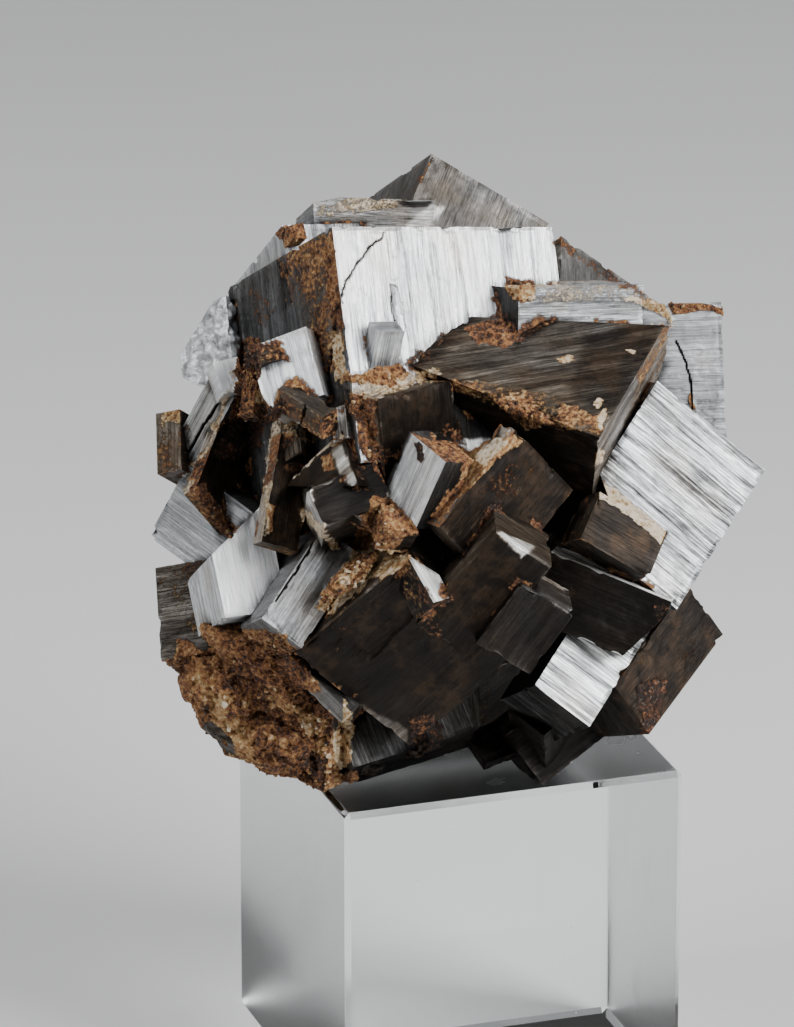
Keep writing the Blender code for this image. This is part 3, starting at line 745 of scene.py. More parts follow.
def within(seen: np.ndarray, outline: Line) -> np.ndarray:
    """Tell which seen places lie inside an outline.

    Args:
        seen: Rows of across and down in the picture.
        outline: Corners of the outline in order.

    Returns:
        True for each place inside.
    """
    inside = np.zeros(len(seen), dtype=bool)
    for (x0, y0), (x1, y1) in zip(outline, outline[1:] + outline[:1]):
        if y0 == y1:
            continue
        crosses = (seen[:, 1] > min(y0, y1)) & (seen[:, 1] <= max(y0, y1))
        side = x0 + (seen[:, 1] - y0) * (x1 - x0) / (y1 - y0)
        inside ^= crosses & (seen[:, 0] < side)
    return inside


def distance_to_line(seen: np.ndarray, line: Line) -> np.ndarray:
    """Measure how far seen places lie from a broken line.

    Args:
        seen: Rows of across and down in the picture.
        line: The line's points in order.

    Returns:
        Distance of each place to the nearest stretch.
    """
    nearest = np.full(len(seen), np.inf)
    for start, end in zip(line, line[1:]):
        a, b = np.array(start), np.array(end)
        along = np.clip((seen - a) @ (b - a) / ((b - a) @ (b - a)), 0.0, 1.0)
        foot = a + along[:, None] * (b - a)
        nearest = np.minimum(nearest, np.linalg.norm(seen - foot, axis=1))
    return nearest


def grid_quads(rows: int, columns: int) -> np.ndarray:
    """Join the points of a grid by four-sided faces.

    Args:
        rows: Number of rows of points.
        columns: Number of points in a row.

    Returns:
        Rows of four point numbers.
    """
    index = np.arange(rows * columns).reshape(rows, columns)
    corners = (index[:-1, :-1], index[1:, :-1], index[1:, 1:], index[:-1, 1:])
    return np.stack(corners, axis=-1).reshape(-1, 4)


def round_mesh(subdivisions: int) -> tuple[np.ndarray, np.ndarray]:
    """Give an even ball with a radius of one, from which lumps and grains are shaped.

    Args:
        subdivisions: How often its triangles are split.

    Returns:
        Rows of points, and rows of three point numbers.
    """
    ball = bmesh.new()
    bmesh.ops.create_icosphere(ball, subdivisions=subdivisions, radius=1.0)
    points = np.array([vert.co[:] for vert in ball.verts])
    faces = np.array([[vert.index for vert in face.verts] for face in ball.faces])
    ball.free()
    return points, faces


@dataclass
class Surface:
    """A growing mesh in the view frame with its finish, painted sheen and painted shade at each point.
    """

    points: list[np.ndarray] = field(default_factory=list)
    quads: list[np.ndarray] = field(default_factory=list)
    grain: list[np.ndarray] = field(default_factory=list)
    finish: dict[str, list[np.ndarray]] = field(default_factory=dict)
    count: int = 0
    sharp_angle: float = math.radians(38.0)
    clear_of_block: float = 0.05 * MM

    def add(
        self,
        points: np.ndarray,
        quads: np.ndarray,
        grain: np.ndarray,
        finish: dict[str, np.ndarray],
    ) -> None:
        """Add a stretch of surface, without the points that no face uses.

        Args:
            points: Rows of across, up and toward in millimetres.
            quads: Rows of point numbers, one row for each face.
            grain: Rows of distance along and across the striations.
            finish: Named values at each point.
        """
        used, flat = np.unique(quads, return_inverse=True)
        self.points.append(points[used])
        self.grain.append(grain[used])
        self.quads.append(flat.reshape(quads.shape) + self.count)
        for name, values in finish.items():
            self.finish.setdefault(name, []).append(values[used])
        self.count += len(used)

    def to_object(self, name: str, block_top: float) -> bpy.types.Object:
        """Make the surface an object in the world frame.

        Args:
            name: Name of the object.
            block_top: Height of the clear block's top face in metres.

        Returns:
            The new object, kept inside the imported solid's box.
        """
        places = SIGHT.to_world(np.concatenate(self.points), block_top)
        low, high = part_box("pseudomorph")
        floor = np.array((low[0], low[1], block_top + self.clear_of_block))
        places = np.clip(places, floor, np.array(high))
        quads = np.concatenate(self.quads)
        mesh = bpy.data.meshes.new(name)
        mesh.vertices.add(len(places))
        mesh.vertices.foreach_set("co", places.ravel())
        mesh.loops.add(quads.size)
        mesh.loops.foreach_set("vertex_index", quads.ravel().astype(np.int32))
        mesh.polygons.add(len(quads))
        starts = np.arange(0, quads.size, quads.shape[1], dtype=np.int32)
        mesh.polygons.foreach_set("loop_start", starts)
        mesh.update(calc_edges=True)
        layer = mesh.uv_layers.new(name="grain")
        grain = np.concatenate(self.grain)[quads.ravel()]
        layer.data.foreach_set("uv", grain.ravel())
        for title, parts in self.finish.items():
            values = np.concatenate(parts)
            mesh.attributes.new(title, "FLOAT", "POINT").data.foreach_set("value", values)
        mesh.validate()
        mesh.shade_smooth()
        mesh.set_sharp_from_angle(angle=self.sharp_angle)
        thing = bpy.data.objects.new(name, mesh)
        bpy.context.scene.collection.objects.link(thing)
        return thing


@dataclass(frozen=True)
class Streaks:
    """Noise drawn out along the striations, with its width and length in millimetres."""

    width: float
    length: float
    level: float
    pattern: int
    octaves: int = 1

    def read(self, across: np.ndarray, along: np.ndarray, seed: int) -> np.ndarray:
        """Read the noise at the points of a face.

        Args:
            across: Distance in the direction of the width in millimetres.
            along: Distance in the direction of the length in millimetres.
            seed: Number that picks the face's pattern.

        Returns:
            Noise from 0 to 1 at each point.
        """
        level = np.full(len(across), self.level)
        places = np.stack((across / self.width, along / self.length, level), axis=1)
        return rough_noise(places, seed + self.pattern, self.octaves)


@dataclass(frozen=True)
class Folds:
    """Sharp folds, as in crumpled foil, with their width and height in millimetres."""

    width: float
    shift: float
    pattern: int
    height: float


@dataclass(frozen=True)
class Relief:
    """Height of the striations, growth layers, folds and crust grains, in millimetres."""

    wander: Streaks = Streaks(5.0, 3.0, 0.0, 5)
    layers: Streaks = Streaks(2.2, 8.0, 3.1, 0, 3)
    ridges: Streaks = Streaks(0.55, 6.0, 7.7, 11)
    hairs: Streaks = Streaks(0.24, 3.5, 1.9, 17)
    flakes: Streaks = Streaks(1.0, 2.8, 5.3, 23, 3)
    wander_reach: float = 0.2
    layer_steps: float = 11.0
    layer_height: float = 0.42
    flake_steps: float = 8.0
    ridge_height: float = 0.075
    hair_height: float = 0.05
    folds: tuple[Folds, ...] = (
        Folds(1.5, 0.0, 211, 0.55),
        Folds(0.6, 9.0, 223, 0.38),
        Folds(0.28, 4.0, 229, 0.14),
    )
    fold_level: float = 0.35
    ridge_range: Spot = (0.44, 0.56)
    swell_size: float = 1.6
    swell_height: float = 0.42
    granule_size: float = 0.42
    granule_height: float = 0.38
    gap_range: Spot = (0.30, 0.55)

    def face(
        self, along: np.ndarray, across: np.ndarray, seed: int, tone: float, look: Look
    ) -> np.ndarray:
        """Shape the striations and growth layers of a face.

        Args:
            along: Distance along the striations in millimetres.
            across: Distance across the striations in millimetres.
            seed: Number that picks the pattern.
            tone: Tone of the face; bright faces have crisper striations.
            look: The crystal's finish, with its broken layers and streaks.

        Returns:
            Height above the flat face in millimetres.
        """
        line = across + (self.wander.read(along, across, seed) - 0.5) * self.wander_reach
        layers = self.layers.read(line, along, seed)
        layers = np.floor(layers * self.layer_steps) / self.layer_steps
        ridges = smooth(self.ridges.read(line, along, seed), *self.ridge_range)
        hairs = self.hairs.read(line, along, seed)
        crisp = (0.45 + 0.75 * tone) * (0.4 + 0.6 * look.streak)
        flakes = self.flakes.read(line, along, seed)
        flakes = np.floor(flakes * self.flake_steps) / self.flake_steps - 0.5
        height = self.layer_height * (layers - 0.55) + look.flaky * flakes
        return height + crisp * (self.ridge_height * (ridges - 1.0) + self.hair_height * (hairs - 1.0))

    def crumple(self, places: np.ndarray) -> np.ndarray:
        """Crumple a face like foil.

        Args:
            places: Rows of across, up and toward in millimetres.

        Returns:
            Height above the flat face in millimetres.
        """
        height = np.zeros(len(places))
        for fold in self.folds:
            crease = np.abs(noise(places / fold.width + fold.shift, fold.pattern) - 0.5) * 2.0
            height += fold.height * (self.fold_level - crease)
        return height

    def granules(self, places: np.ndarray) -> np.ndarray:
        """Shape the grainy skin of the crust.

        Args:
            places: Rows of across, up and toward in millimetres.

        Returns:
            Height in millimetres, with deep gaps between the grains.
        """
        swell = rough_noise(places / self.swell_size, 83, 2) - 0.5
        grain = self.grain(places)
        gaps = smooth(grain, *self.gap_range)
        height = self.swell_height * swell + self.granule_height * (gaps - 0.75)
        return height + self.granule_height * (grain - 0.5)

    def grain(self, places: np.ndarray) -> np.ndarray:
        """Give the pattern of the crust's single grains, from 0 to 1."""
        return rough_noise(places / self.granule_size, 89)


@dataclass(frozen=True)
class Wear:
    """Rounded and chipped edges, in millimetres."""

    reach: float = 0.45
    least: float = 0.04
    chip_depth: float = 0.4
    chip_size: float = 1.1
    chip_start: float = 0.60
    chip_gain: float = 4.0
    full_at: float = 3.0

    def at(
        self, local: np.ndarray, sizes: np.ndarray, places: np.ndarray
    ) -> tuple[np.ndarray, np.ndarray, np.ndarray]:
        """Round and chip the edges of a crystal alike on both sides of each edge.

        Args:
            local: Rows of distance along the crystal's three edges.
            sizes: The three edge lengths.
            places: The same places in the view frame.

        Returns:
            The push along each edge, nearness to an edge and distance to it.
        """
        to_face = np.minimum(local, sizes - local)
        to_edge = np.sort(to_face, axis=1)[:, 1]
        near = np.clip(1.0 - to_edge / self.reach, 0.0, 1.0)
        broken = np.clip(rough_noise(places / self.chip_size, 71) - self.chip_start, 0.0, 1.0)
        depth = self.chip_depth * min(1.0, float(sizes.min()) / self.full_at)
        amount = (self.least + depth * (broken * self.chip_gain)) * near
        nearness = np.clip(1.0 - to_face / self.reach, 0.0, 1.0)
        inward = np.where(local < sizes / 2.0, 1.0, -1.0)
        return inward * nearness * amount[:, None], near, to_edge


@dataclass(frozen=True)
class Weathering:
    """How crust, ochre and tone vary over the cluster, with sizes in millimetres."""

    blotch_size: float = 2.2
    blotch_gain: float = 1.5
    zone_gain: float = 1.4
    ochre_size: float = 3.0
    ochre_least: float = 0.05
    ochre_spread: float = 0.6
    tone_size: float = 2.8
    tone_spread: float = 0.3
    fray_size: float = 0.7
    fray: float = 2.4
    widest_fray: float = 12.0
    tone_fray: float = 4.0
    front: Spot = (-8.0, -5.0)

    def at(
        self, name: str, places: np.ndarray, base: float, tone: float
    ) -> tuple[np.ndarray, np.ndarray, np.ndarray]:
        """Tell how much crust lies at each place, how pale it is and the tone under it.

        Args:
            name: Name of the crystal or mass, with the face's number.
            places: Rows of across, up and toward in millimetres.
            base: Share of crust of the whole face.
            tone: Tone of the whole face.

        Returns:
            Crust, ochre and tone, with the tone zones' painted highlight and shade, each from 0 to 1.
        """
        blotch = rough_noise(places / self.blotch_size, 31, 4)
        crust = np.clip(base + (blotch - 0.5) * self.blotch_gain * (0.3 + base), 0.0, 1.0)
        crust = np.where(base > 0.0, crust, 0.0)
        ochre = self.ochre_least + self.ochre_spread * rough_noise(places / self.ochre_size, 47)
        uneven = rough_noise(places / self.tone_size, 13) - 0.5
        tones = tone + uneven * (self.tone_spread - 0.2 * tone)
        shift = ragged(places, self.fray_size)
        front = smooth(places[:, 2], *self.front)
        seen = SIGHT.as_seen(places)
        for zone in ZONES:
            if zone.only and not {name, name.split()[0]} & set(zone.only):
                continue
            if zone.tone is None:
                reach = min(self.widest_fray, self.fray * zone.soft)
                cover = zone.cover(seen + shift * reach) * front * (0.35 + zone.strength)
                cover = cover + (blotch - 0.5) * self.zone_gain * (cover > 0.0)
                cover = np.clip(cover, 0.0, 1.0) * zone.strength
                ochre = np.where(cover > crust, zone.ochre + (ochre - 0.35) * 0.6, ochre)
                crust = np.maximum(crust, cover)
            else:
                # Tone zones: partly the faces' own colour, partly painted highlight and shade
                share = zone.cover(seen + shift * self.tone_fray) * front
                tones = tones + (zone.tone + uneven * 0.2 - tones) * share
                crust = crust * (1.0 - 0.85 * share)
        return crust, ochre, tones


@dataclass(frozen=True)
class LooseGrains:
    """Angular grains of crust strewn over the rusty stretches, in millimetres."""

    count: int = 5000
    seed: int = 7
    least: float = 0.06
    spread: float = 0.16
    small_bias: float = 2.5
    thin: float = 0.6
    long: float = 0.8
    angular: float = 0.45
    tone: float = 0.3
    ochre_spread: float = 0.2
    rusty_from: float = 0.7
    least_chance: float = 1e-6

    def build(self, surfaces: list[Surface]) -> Surface:
        """Strew the grains.

        Args:
            surfaces: The surfaces that the grains sit on.

        Returns:
            One surface with all the grains.
        """
        points = np.concatenate([np.concatenate(s.points) for s in surfaces])
        crust = np.concatenate([np.concatenate(s.finish["crust"]) for s in surfaces])
        ochre = np.concatenate([np.concatenate(s.finish["ochre"]) for s in surfaces])
        picker = np.random.default_rng(self.seed)
        chance = smooth(crust, self.rusty_from, 1.0) + self.least_chance
        chosen = picker.choice(len(points), self.count, False, chance / chance.sum())
        shape, faces = round_mesh(1)
        corners = len(shape)
        heap = Surface()
        for spot in chosen:
            size = self.least + self.spread * picker.random() ** self.small_bias
            stretch = self.thin + self.long * picker.random(3)
            jitter = 1.0 + self.angular * (picker.random((corners, 1)) - 0.5)
            places = points[spot] + shape * jitter * stretch * size
            rusty = 0.8 + 0.2 * picker.random()
            pale = np.clip(ochre[spot] + picker.normal(0, self.ochre_spread), 0, 1)
            finish = {
                "tone": np.full(corners, self.tone),
                "crust": np.full(corners, rusty),
                "ochre": np.full(corners, pale),
                "dark": np.zeros(corners),
                "film": np.ones(corners),
                "streak": np.ones(corners),
            }
            heap.add(places, faces, places[:, :2], finish)
        return heap


@dataclass
class Cluster:
    """The ball of grown-together crystals with its crust and loose grains."""

    relief: Relief = Relief()
    worn: Wear = Wear()
    weathering: Weathering = Weathering()
    loose: LooseGrains = LooseGrains()
    finest: float = 0.095
    fine_across: float = 0.125
    fine_along: float = 0.25
    coarse: float = 2.2
    far_side: float = 1.5
    even_grain: Spot = (18.0, 0.5)
    buried: float = 0.3
    crevice_reach: float = 0.8
    seed_steps: tuple[int, int, int] = (37, 7, 3)
    pattern_shift: Spot = (3.7, 1.3)
    full_rind_edge: float = 4.0
    relief_rim: float = 0.3
    shadow_start: float = 0.4
    crack_fray_size: float = 0.8
    crack_fray: float = 5.0
    lump_detail: int = 5
    lump_swell: float = 0.6
    lump_knob_size: float = 1.9
    lump_patch_size: float = 1.6
    block_top: float = field(default_factory=lambda: float(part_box("acrylic_stand")[1][2]))

    def bury(
        self, crystal: Crystal, places: np.ndarray, quads: np.ndarray
    ) -> tuple[np.ndarray, np.ndarray]:
        """Drop the faces that lie inside a neighbour and find the crevices beside it.

        Args:
            crystal: The crystal whose face it is.
            places: The face's points in the view frame.
            quads: Rows of point numbers.

        Returns:
            The rows that are left, and nearness to a neighbour from 0 to 1.
        """
        middles = places[quads].mean(axis=1)
        keep = np.ones(len(quads), dtype=bool)
        crevice = np.zeros(len(places))
        for other in (*CRYSTALS, *LUMPS):
            if other is not crystal:
                keep &= other.depth_inside(middles) < self.buried
                gap = np.abs(other.depth_inside(places))
                crevice = np.maximum(crevice, 1.0 - gap / self.crevice_reach)
        return quads[keep], crevice

    def add_crystal(self, crystal: Crystal, surface: Surface, number: int) -> None:
        """Build all six faces of a crystal, less what its neighbours bury.

        Args:
            crystal: The crystal to build.
            surface: The surface that it is added to.
            number: The crystal's place in the list, which picks its patterns.
        """
        for pair in range(len(FACE_EDGES)):
            for far in (False, True):
                seed = sum(a * b for a, b in zip((number, pair, far), self.seed_steps))
                self.add_face(crystal, surface, pair, far, seed)

    def grid_of(self, crystal: Crystal, pair: int, far: bool) -> tuple[float, float]:
        """Choose how fine the grid of a face is.

        Args:
            crystal: The crystal whose face it is.
            pair: The face's number.
            far: True for the face away from the crystal's told corner.

        Returns:
            The steps along and across the striations in millimetres.
        """
        scale = self.coarse if crystal.hidden else 1.0
        rough = scale * (self.far_side if far else 1.0)
        cracked = any(crystal.name in crack.crystals for crack in CRACKS)
        rusty = crystal.look.crust[pair] > 0.35
        even = not far and (rusty or cracked or crystal.look.crumpled)
        across = self.finest if cracked and not far else self.fine_across
        along = across if even else self.fine_along
        return along * rough, across * rough

    def add_face(
        self, crystal: Crystal, surface: Surface, pair: int, far: bool, seed: int
    ) -> None:
        """Build one striated face of a crystal.

        Args:
            crystal: The crystal whose face it is.
            surface: The surface that it is added to.
            pair: The face's number.
            far: True for the face away from the crystal's told corner.
            seed: Number that picks its patterns.
        """
        look = crystal.look
        first, second = FACE_EDGES[pair]
        normal = 3 - first - second
        sizes = np.array(crystal.edges, dtype=float)
        ways = crystal.directions()
        follow = look.grain[pair] if look.grain[pair] in (first, second) else first
        cross = second if follow == first else first
        # The face's tone is partly its own colour, partly painted sheen and shade
        tone, base = look.tones[pair].value, look.crust[pair]
        step_along, step_across = self.grid_of(crystal, pair, far)
        rows = max(3, math.ceil(sizes[follow] / step_along) + 1)
        columns = max(3, math.ceil(sizes[cross] / step_across) + 1)
        along, across = np.meshgrid(
            np.linspace(0.0, sizes[follow], rows),
            np.linspace(0.0, sizes[cross], columns),
            indexing="ij",
        )
        along, across = along.ravel(), across.ravel()
        local = np.zeros((len(along), 3))
        local[:, follow] = along
        local[:, cross] = across
        local[:, normal] = sizes[normal] if far else 0.0
        corner = SIGHT.in_depth(crystal.corner)
        flat = corner + local @ ways
        push, near, to_edge = self.worn.at(local, sizes, flat)
        turn = math.radians(look.turn) * (pair == 0)
        side = 1.0 if cross == first else -1.0
        run = along * math.cos(turn) + side * across * math.sin(turn)
        run = run + seed * self.pattern_shift[0]
        width = across * math.cos(turn) - side * along * math.sin(turn)
        width = width + seed * self.pattern_shift[1]
        if look.crumpled:
            height = self.relief.crumple(flat)
        else:
            height = self.relief.face(run, width, seed, tone, look)
        title = crystal.name if far else f"{crystal.name} {pair}"
        crust, ochre, tones = self.weathering.at(title, flat, base, tone)
        rind = min(1.0, (float(sizes.min()) / self.full_rind_edge) ** 1.4)
        rind = rind * (1.0 if base > 0.7 else 0.5)
        height = height * (1.0 - crust) + crust * self.relief.granules(flat) * rind
        dark = np.zeros(len(flat))
        if not far:
            height, dark = self.mark(crystal, pair, flat, height)
        outward = 1.0 if far else -1.0
        local[:, normal] += height * smooth(to_edge, 0.0, self.relief_rim) * outward
        places = crystal.trimmed(corner + (local + push) @ ways)
        quads = grid_quads(rows, columns)
        turned = np.cross(ways[follow], ways[cross]) @ ways[normal] > 0.0
        if turned != far:
            quads = quads[:, ::-1]
        quads, crevice = self.bury(crystal, places, quads)
        if not len(quads):
            return
        crust = np.maximum(crust, self.gathered_rust(look, base, places, near, crevice))
        if look.crumpled:
            run, width = run * self.even_grain[0], width * self.even_grain[1]
            tones = tones + (rough_noise(places / 0.5, 227) - 0.5) * 0.5
        film = look.warm + (rough_noise(places / 2.5, 61) - 0.5) * 1.2
        # Painted shade in the crevices beside neighbouring crystals
        shadow = 0.5 * np.clip(crevice - self.shadow_start, 0.0, 1.0)
        finish = {
            "tone": np.clip(tones + near * 0.06, 0.0, 1.0),
            "crust": crust,
            "ochre": np.clip(ochre, 0.0, 1.0),
            "dark": np.clip(dark + shadow, 0.0, 1.0),
            "film": np.clip(film, 0.0, 1.0),
            "streak": np.full(len(places), look.streak),
        }
        surface.add(places, quads, np.stack((run, width), axis=1), finish)

    def gathered_rust(
        self, look: Look, base: float, places: np.ndarray, near: np.ndarray, crevice: np.ndarray
    ) -> np.ndarray:
        """Gather rust in the crevices and along the edges of a face.

        Args:
            look: The crystal's finish.
            base: Share of crust of the whole face.
            places: The face's points in the view frame.
            near: Nearness to an edge at each point.
            crevice: Nearness to a neighbour at each point.

        Returns:
            Share of crust at each point.
        """
        spotted = rough_noise(places, 59)
        gathered = crevice * smooth(spotted, 0.44, 0.6) * 0.85
        edged = near**0.5 * smooth(spotted, 0.44, 0.58) * (0.3 + 0.55 * look.warm)
        most = min(1.0, 4.0 * max(look.crust))
        return most * np.maximum(gathered, edged * (0.4 + base))

    def mark(
        self, crystal: Crystal, pair: int, flat: np.ndarray, height: np.ndarray
    ) -> tuple[np.ndarray, np.ndarray]:
        """Cut the cracks and broken layers into a face.

        Args:
            crystal: The crystal whose face it is.
            pair: The face's number.
            flat: The face's points in the view frame.
            height: Relief so far in millimetres.

        Returns:
            The new relief, and the painted shade in the cracks from 0 to 1.
        """
        dark = np.zeros(len(flat))
        seen = SIGHT.as_seen(flat) + ragged(flat, self.crack_fray_size) * self.crack_fray
        for gone in BREAKS:
            if gone.crystal == crystal.name and pair == 0:
                height = height + within(seen, gone.outline) * gone.rise
        for crack in CRACKS:
            if crystal.name in crack.crystals:
                gap = distance_to_line(seen, crack.line)
                open_part = 1.0 - smooth(gap, crack.width * 0.5, crack.width * 1.6)
                height = height - open_part * crack.depth
                # Painted shade inside the crack
                dark = np.maximum(dark, open_part)
        return height, dark

    def add_lump(self, lump: Lump, surface: Surface, number: int) -> None:
        """Build a knobbly mass of crust, less what its neighbours bury.

        Args:
            lump: The mass to build.
            surface: The surface that it is added to.
            number: Its place in the list, which picks its pattern.
        """
        ball, faces = round_mesh(self.lump_detail)
        away = lump.shaped(ball)
        centre = SIGHT.in_depth(lump.centre)
        knobs = rough_noise((centre + away) / self.lump_knob_size, 101 + number) - 0.5
        places = centre + away * (1.0 + self.lump_swell * knobs)[:, None]
        outward = away / np.linalg.norm(away, axis=1, keepdims=True)
        fine = self.relief.grain(places) - 0.5
        places = places + outward * self.relief.granules(places)[:, None]
        middles = places[faces].mean(axis=1)
        keep = np.ones(len(faces), dtype=bool)
        for crystal in CRYSTALS:
            keep &= crystal.depth_inside(middles) < self.buried
        if not keep.any():
            return
        spread = rough_noise(places / self.lump_patch_size, 151) - 0.5
        crust, ochre, tones = self.weathering.at(lump.name, places, lump.crust, lump.tone.value)
        finish = {
            "tone": np.clip(tones, 0.0, 1.0),
            "crust": np.clip(crust + spread * 0.5, 0.0, 1.0),
            "ochre": np.clip(ochre, 0.0, 1.0),
            # Painted shade in the gaps between the crust's grains
            "dark": smooth(-fine, 0.10, 0.3) * 0.4,
            "film": np.full(len(places), 0.9),
            "streak": np.ones(len(places)),
        }
        surface.add(places, faces[keep], places[:, :2] * np.array(self.even_grain), finish)

    def build(self) -> dict[str, bpy.types.Object]:
        """Build all pieces of the cluster.

        Returns:
            The pieces by name.
        """
        surfaces: dict[str, Surface] = {}
        numbers = {crystal.name: number for number, crystal in enumerate(CRYSTALS)}
        for title, crystals in GROUPS.items():
            surface = Surface()
            for crystal in crystals:
                self.add_crystal(crystal, surface, numbers[crystal.name])
            surfaces[f"{title}_crystals"] = surface
        crust = Surface()
        for number, lump in enumerate(LUMPS):
            self.add_lump(lump, crust, number)
        surfaces["crust_masses"] = crust
        surfaces["crust_grains"] = self.loose.build(list(surfaces.values()))
        return {
            name: surface.to_object(name, self.block_top)
            for name, surface in surfaces.items()
        }


@dataclass
class Graph:
    """Short calls for building a material's node tree."""

    tree: bpy.types.NodeTree

    def node(self, kind: str, **settings: object) -> bpy.types.Node:
        """Add a node and set its properties.

        Args:
            kind: The node's type name.
            settings: Properties by name.

        Returns:
            The new node.
        """
        made = self.tree.nodes.new(kind)
        for name, value in settings.items():
            setattr(made, name, value)
        return made

    def feed(self, socket: bpy.types.NodeSocket, value: object) -> None:
        """Link a socket to an output, or set it to a plain value.

        Args:
            socket: The input that is fed.
            value: Output or plain value.
        """
        if isinstance(value, bpy.types.NodeSocket):
            self.tree.links.new(value, socket)
        else:
            socket.default_value = value

    def maths(
        self, operation: str, first: object, second: object = 0.0, clamp: bool = False
    ) -> bpy.types.NodeSocket:
        """Work out one sum.

        Args:
            operation: Name of the sum.
            first: Output or number.
            second: Output or number.
            clamp: Whether the result is kept from 0 to 1.

        Returns:
            The result's output.
        """
        made = self.node("ShaderNodeMath", operation=operation, use_clamp=clamp)
        self.feed(made.inputs[0], first)
        self.feed(made.inputs[1], second)
        return made.outputs[0]

    def add(self, first: object, second: object, clamp: bool = False) -> bpy.types.NodeSocket:
        """Add two values."""
        return self.maths("ADD", first, second, clamp)

    def less(self, first: object, second: object, clamp: bool = False) -> bpy.types.NodeSocket:
        """Take the second value from the first."""
        return self.maths("SUBTRACT", first, second, clamp)

    def times(self, first: object, second: object) -> bpy.types.NodeSocket:
        """Multiply two values."""
        return self.maths("MULTIPLY", first, second)

    def centred(self, value: object, width: float) -> bpy.types.NodeSocket:
        """Shift a value from 0 to 1 so that it swings about zero over the given width."""
        return self.times(self.less(value, 0.5), width)

    def ease(self, value: object, low: float, high: float) -> bpy.types.NodeSocket:
        """Ease a value from 0 at the low end to 1 at the high end.

        Args:
            value: Output or number.
            low: Value that gives 0.
            high: Value that gives 1.

        Returns:
            The eased value's output.
        """
        made = self.node("ShaderNodeMapRange", interpolation_type="SMOOTHSTEP")
        self.feed(made.inputs["Value"], value)
        made.inputs["From Min"].default_value = low
        made.inputs["From Max"].default_value = high
        return made.outputs["Result"]

    def noise(
        self, vector: bpy.types.NodeSocket, scale: float, detail: float, rough: float = 0.55
    ) -> bpy.types.NodeSocket:
        """Add a noise texture.

        Args:
            vector: Where the noise is read.
            scale: How many features fit in one unit.
            detail: How many finer grains are added.
            rough: How strong the finer grains are.

        Returns:
            The noise's output.
        """
        made = self.node("ShaderNodeTexNoise")
        self.feed(made.inputs["Vector"], vector)
        made.inputs["Scale"].default_value = scale
        made.inputs["Detail"].default_value = detail
        made.inputs["Roughness"].default_value = rough
        return made.outputs[0]

    def stretched(self, vector: bpy.types.NodeSocket, factors: Place) -> bpy.types.NodeSocket:
        """Scale a vector.

        Args:
            vector: The vector's output.
            factors: One factor for each direction.

        Returns:
            The scaled vector's output.
        """
        made = self.node("ShaderNodeMapping")
        self.feed(made.inputs["Vector"], vector)
        made.inputs["Scale"].default_value = factors
        return made.outputs[0]

    def ramp(self, value: object, stops: Stops) -> bpy.types.NodeSocket:
        """Turn a value into a colour.

        Args:
            value: Output or number.
            stops: Places from 0 to 1 with their colours.

        Returns:
            The colour's output.
        """
        made = self.node("ShaderNodeValToRGB")
        self.feed(made.inputs[0], value)
        band = made.color_ramp
        while len(band.elements) < len(stops):
            band.elements.new(1.0)
        for element, (place, colour) in zip(band.elements, stops):
            element.position = place
            element.color = (*colour, 1.0)
        return made.outputs[0]

    def mix(self, share: object, first: object, second: object) -> bpy.types.NodeSocket:
        """Mix two colours.

        Args:
            share: How much of the second colour shows, from 0 to 1.
            first: Output or colour.
            second: Output or colour.

        Returns:
            The mixed colour's output.
        """
        made = self.node("ShaderNodeMix", data_type="RGBA")
        self.feed(made.inputs[0], share)
        for socket, value in ((made.inputs[6], first), (made.inputs[7], second)):
            self.feed(socket, (*value, 1.0) if isinstance(value, tuple) else value)
        return made.outputs[2]

    def value(self, name: str) -> bpy.types.NodeSocket:
        """Read a named value of the mesh."""
        return self.node("ShaderNodeAttribute", attribute_name=name).outputs["Fac"]

    def place(self) -> bpy.types.NodeSocket:
        """Read where each point of the object lies, in metres."""
        return self.node("ShaderNodeTexCoord").outputs["Object"]

    def bump(
        self, surface: bpy.types.Node, height: object, distance: float, strength: float
    ) -> None:
        """Raise fine relief on a surface.

        Args:
            surface: The surface node.
            height: Output with the height from 0 to 1.
            distance: The relief's full height in metres.
            strength: How much of it shows.
        """
        made = self.node("ShaderNodeBump")
        made.inputs["Distance"].default_value = distance
        made.inputs["Strength"].default_value = strength
        self.feed(made.inputs["Height"], height)
        self.feed(surface.inputs["Normal"], made.outputs[0])


def new_material(name: str) -> tuple[bpy.types.Material, Graph, bpy.types.Node]:
    """Start a material.

    Args:
        name: The material's name.

    Returns:
        The material, its graph and its surface node.
    """
    material = bpy.data.materials.new(name)
    material.use_nodes = True
    tree = material.node_tree
    return material, Graph(tree), tree.nodes["Principled BSDF"]


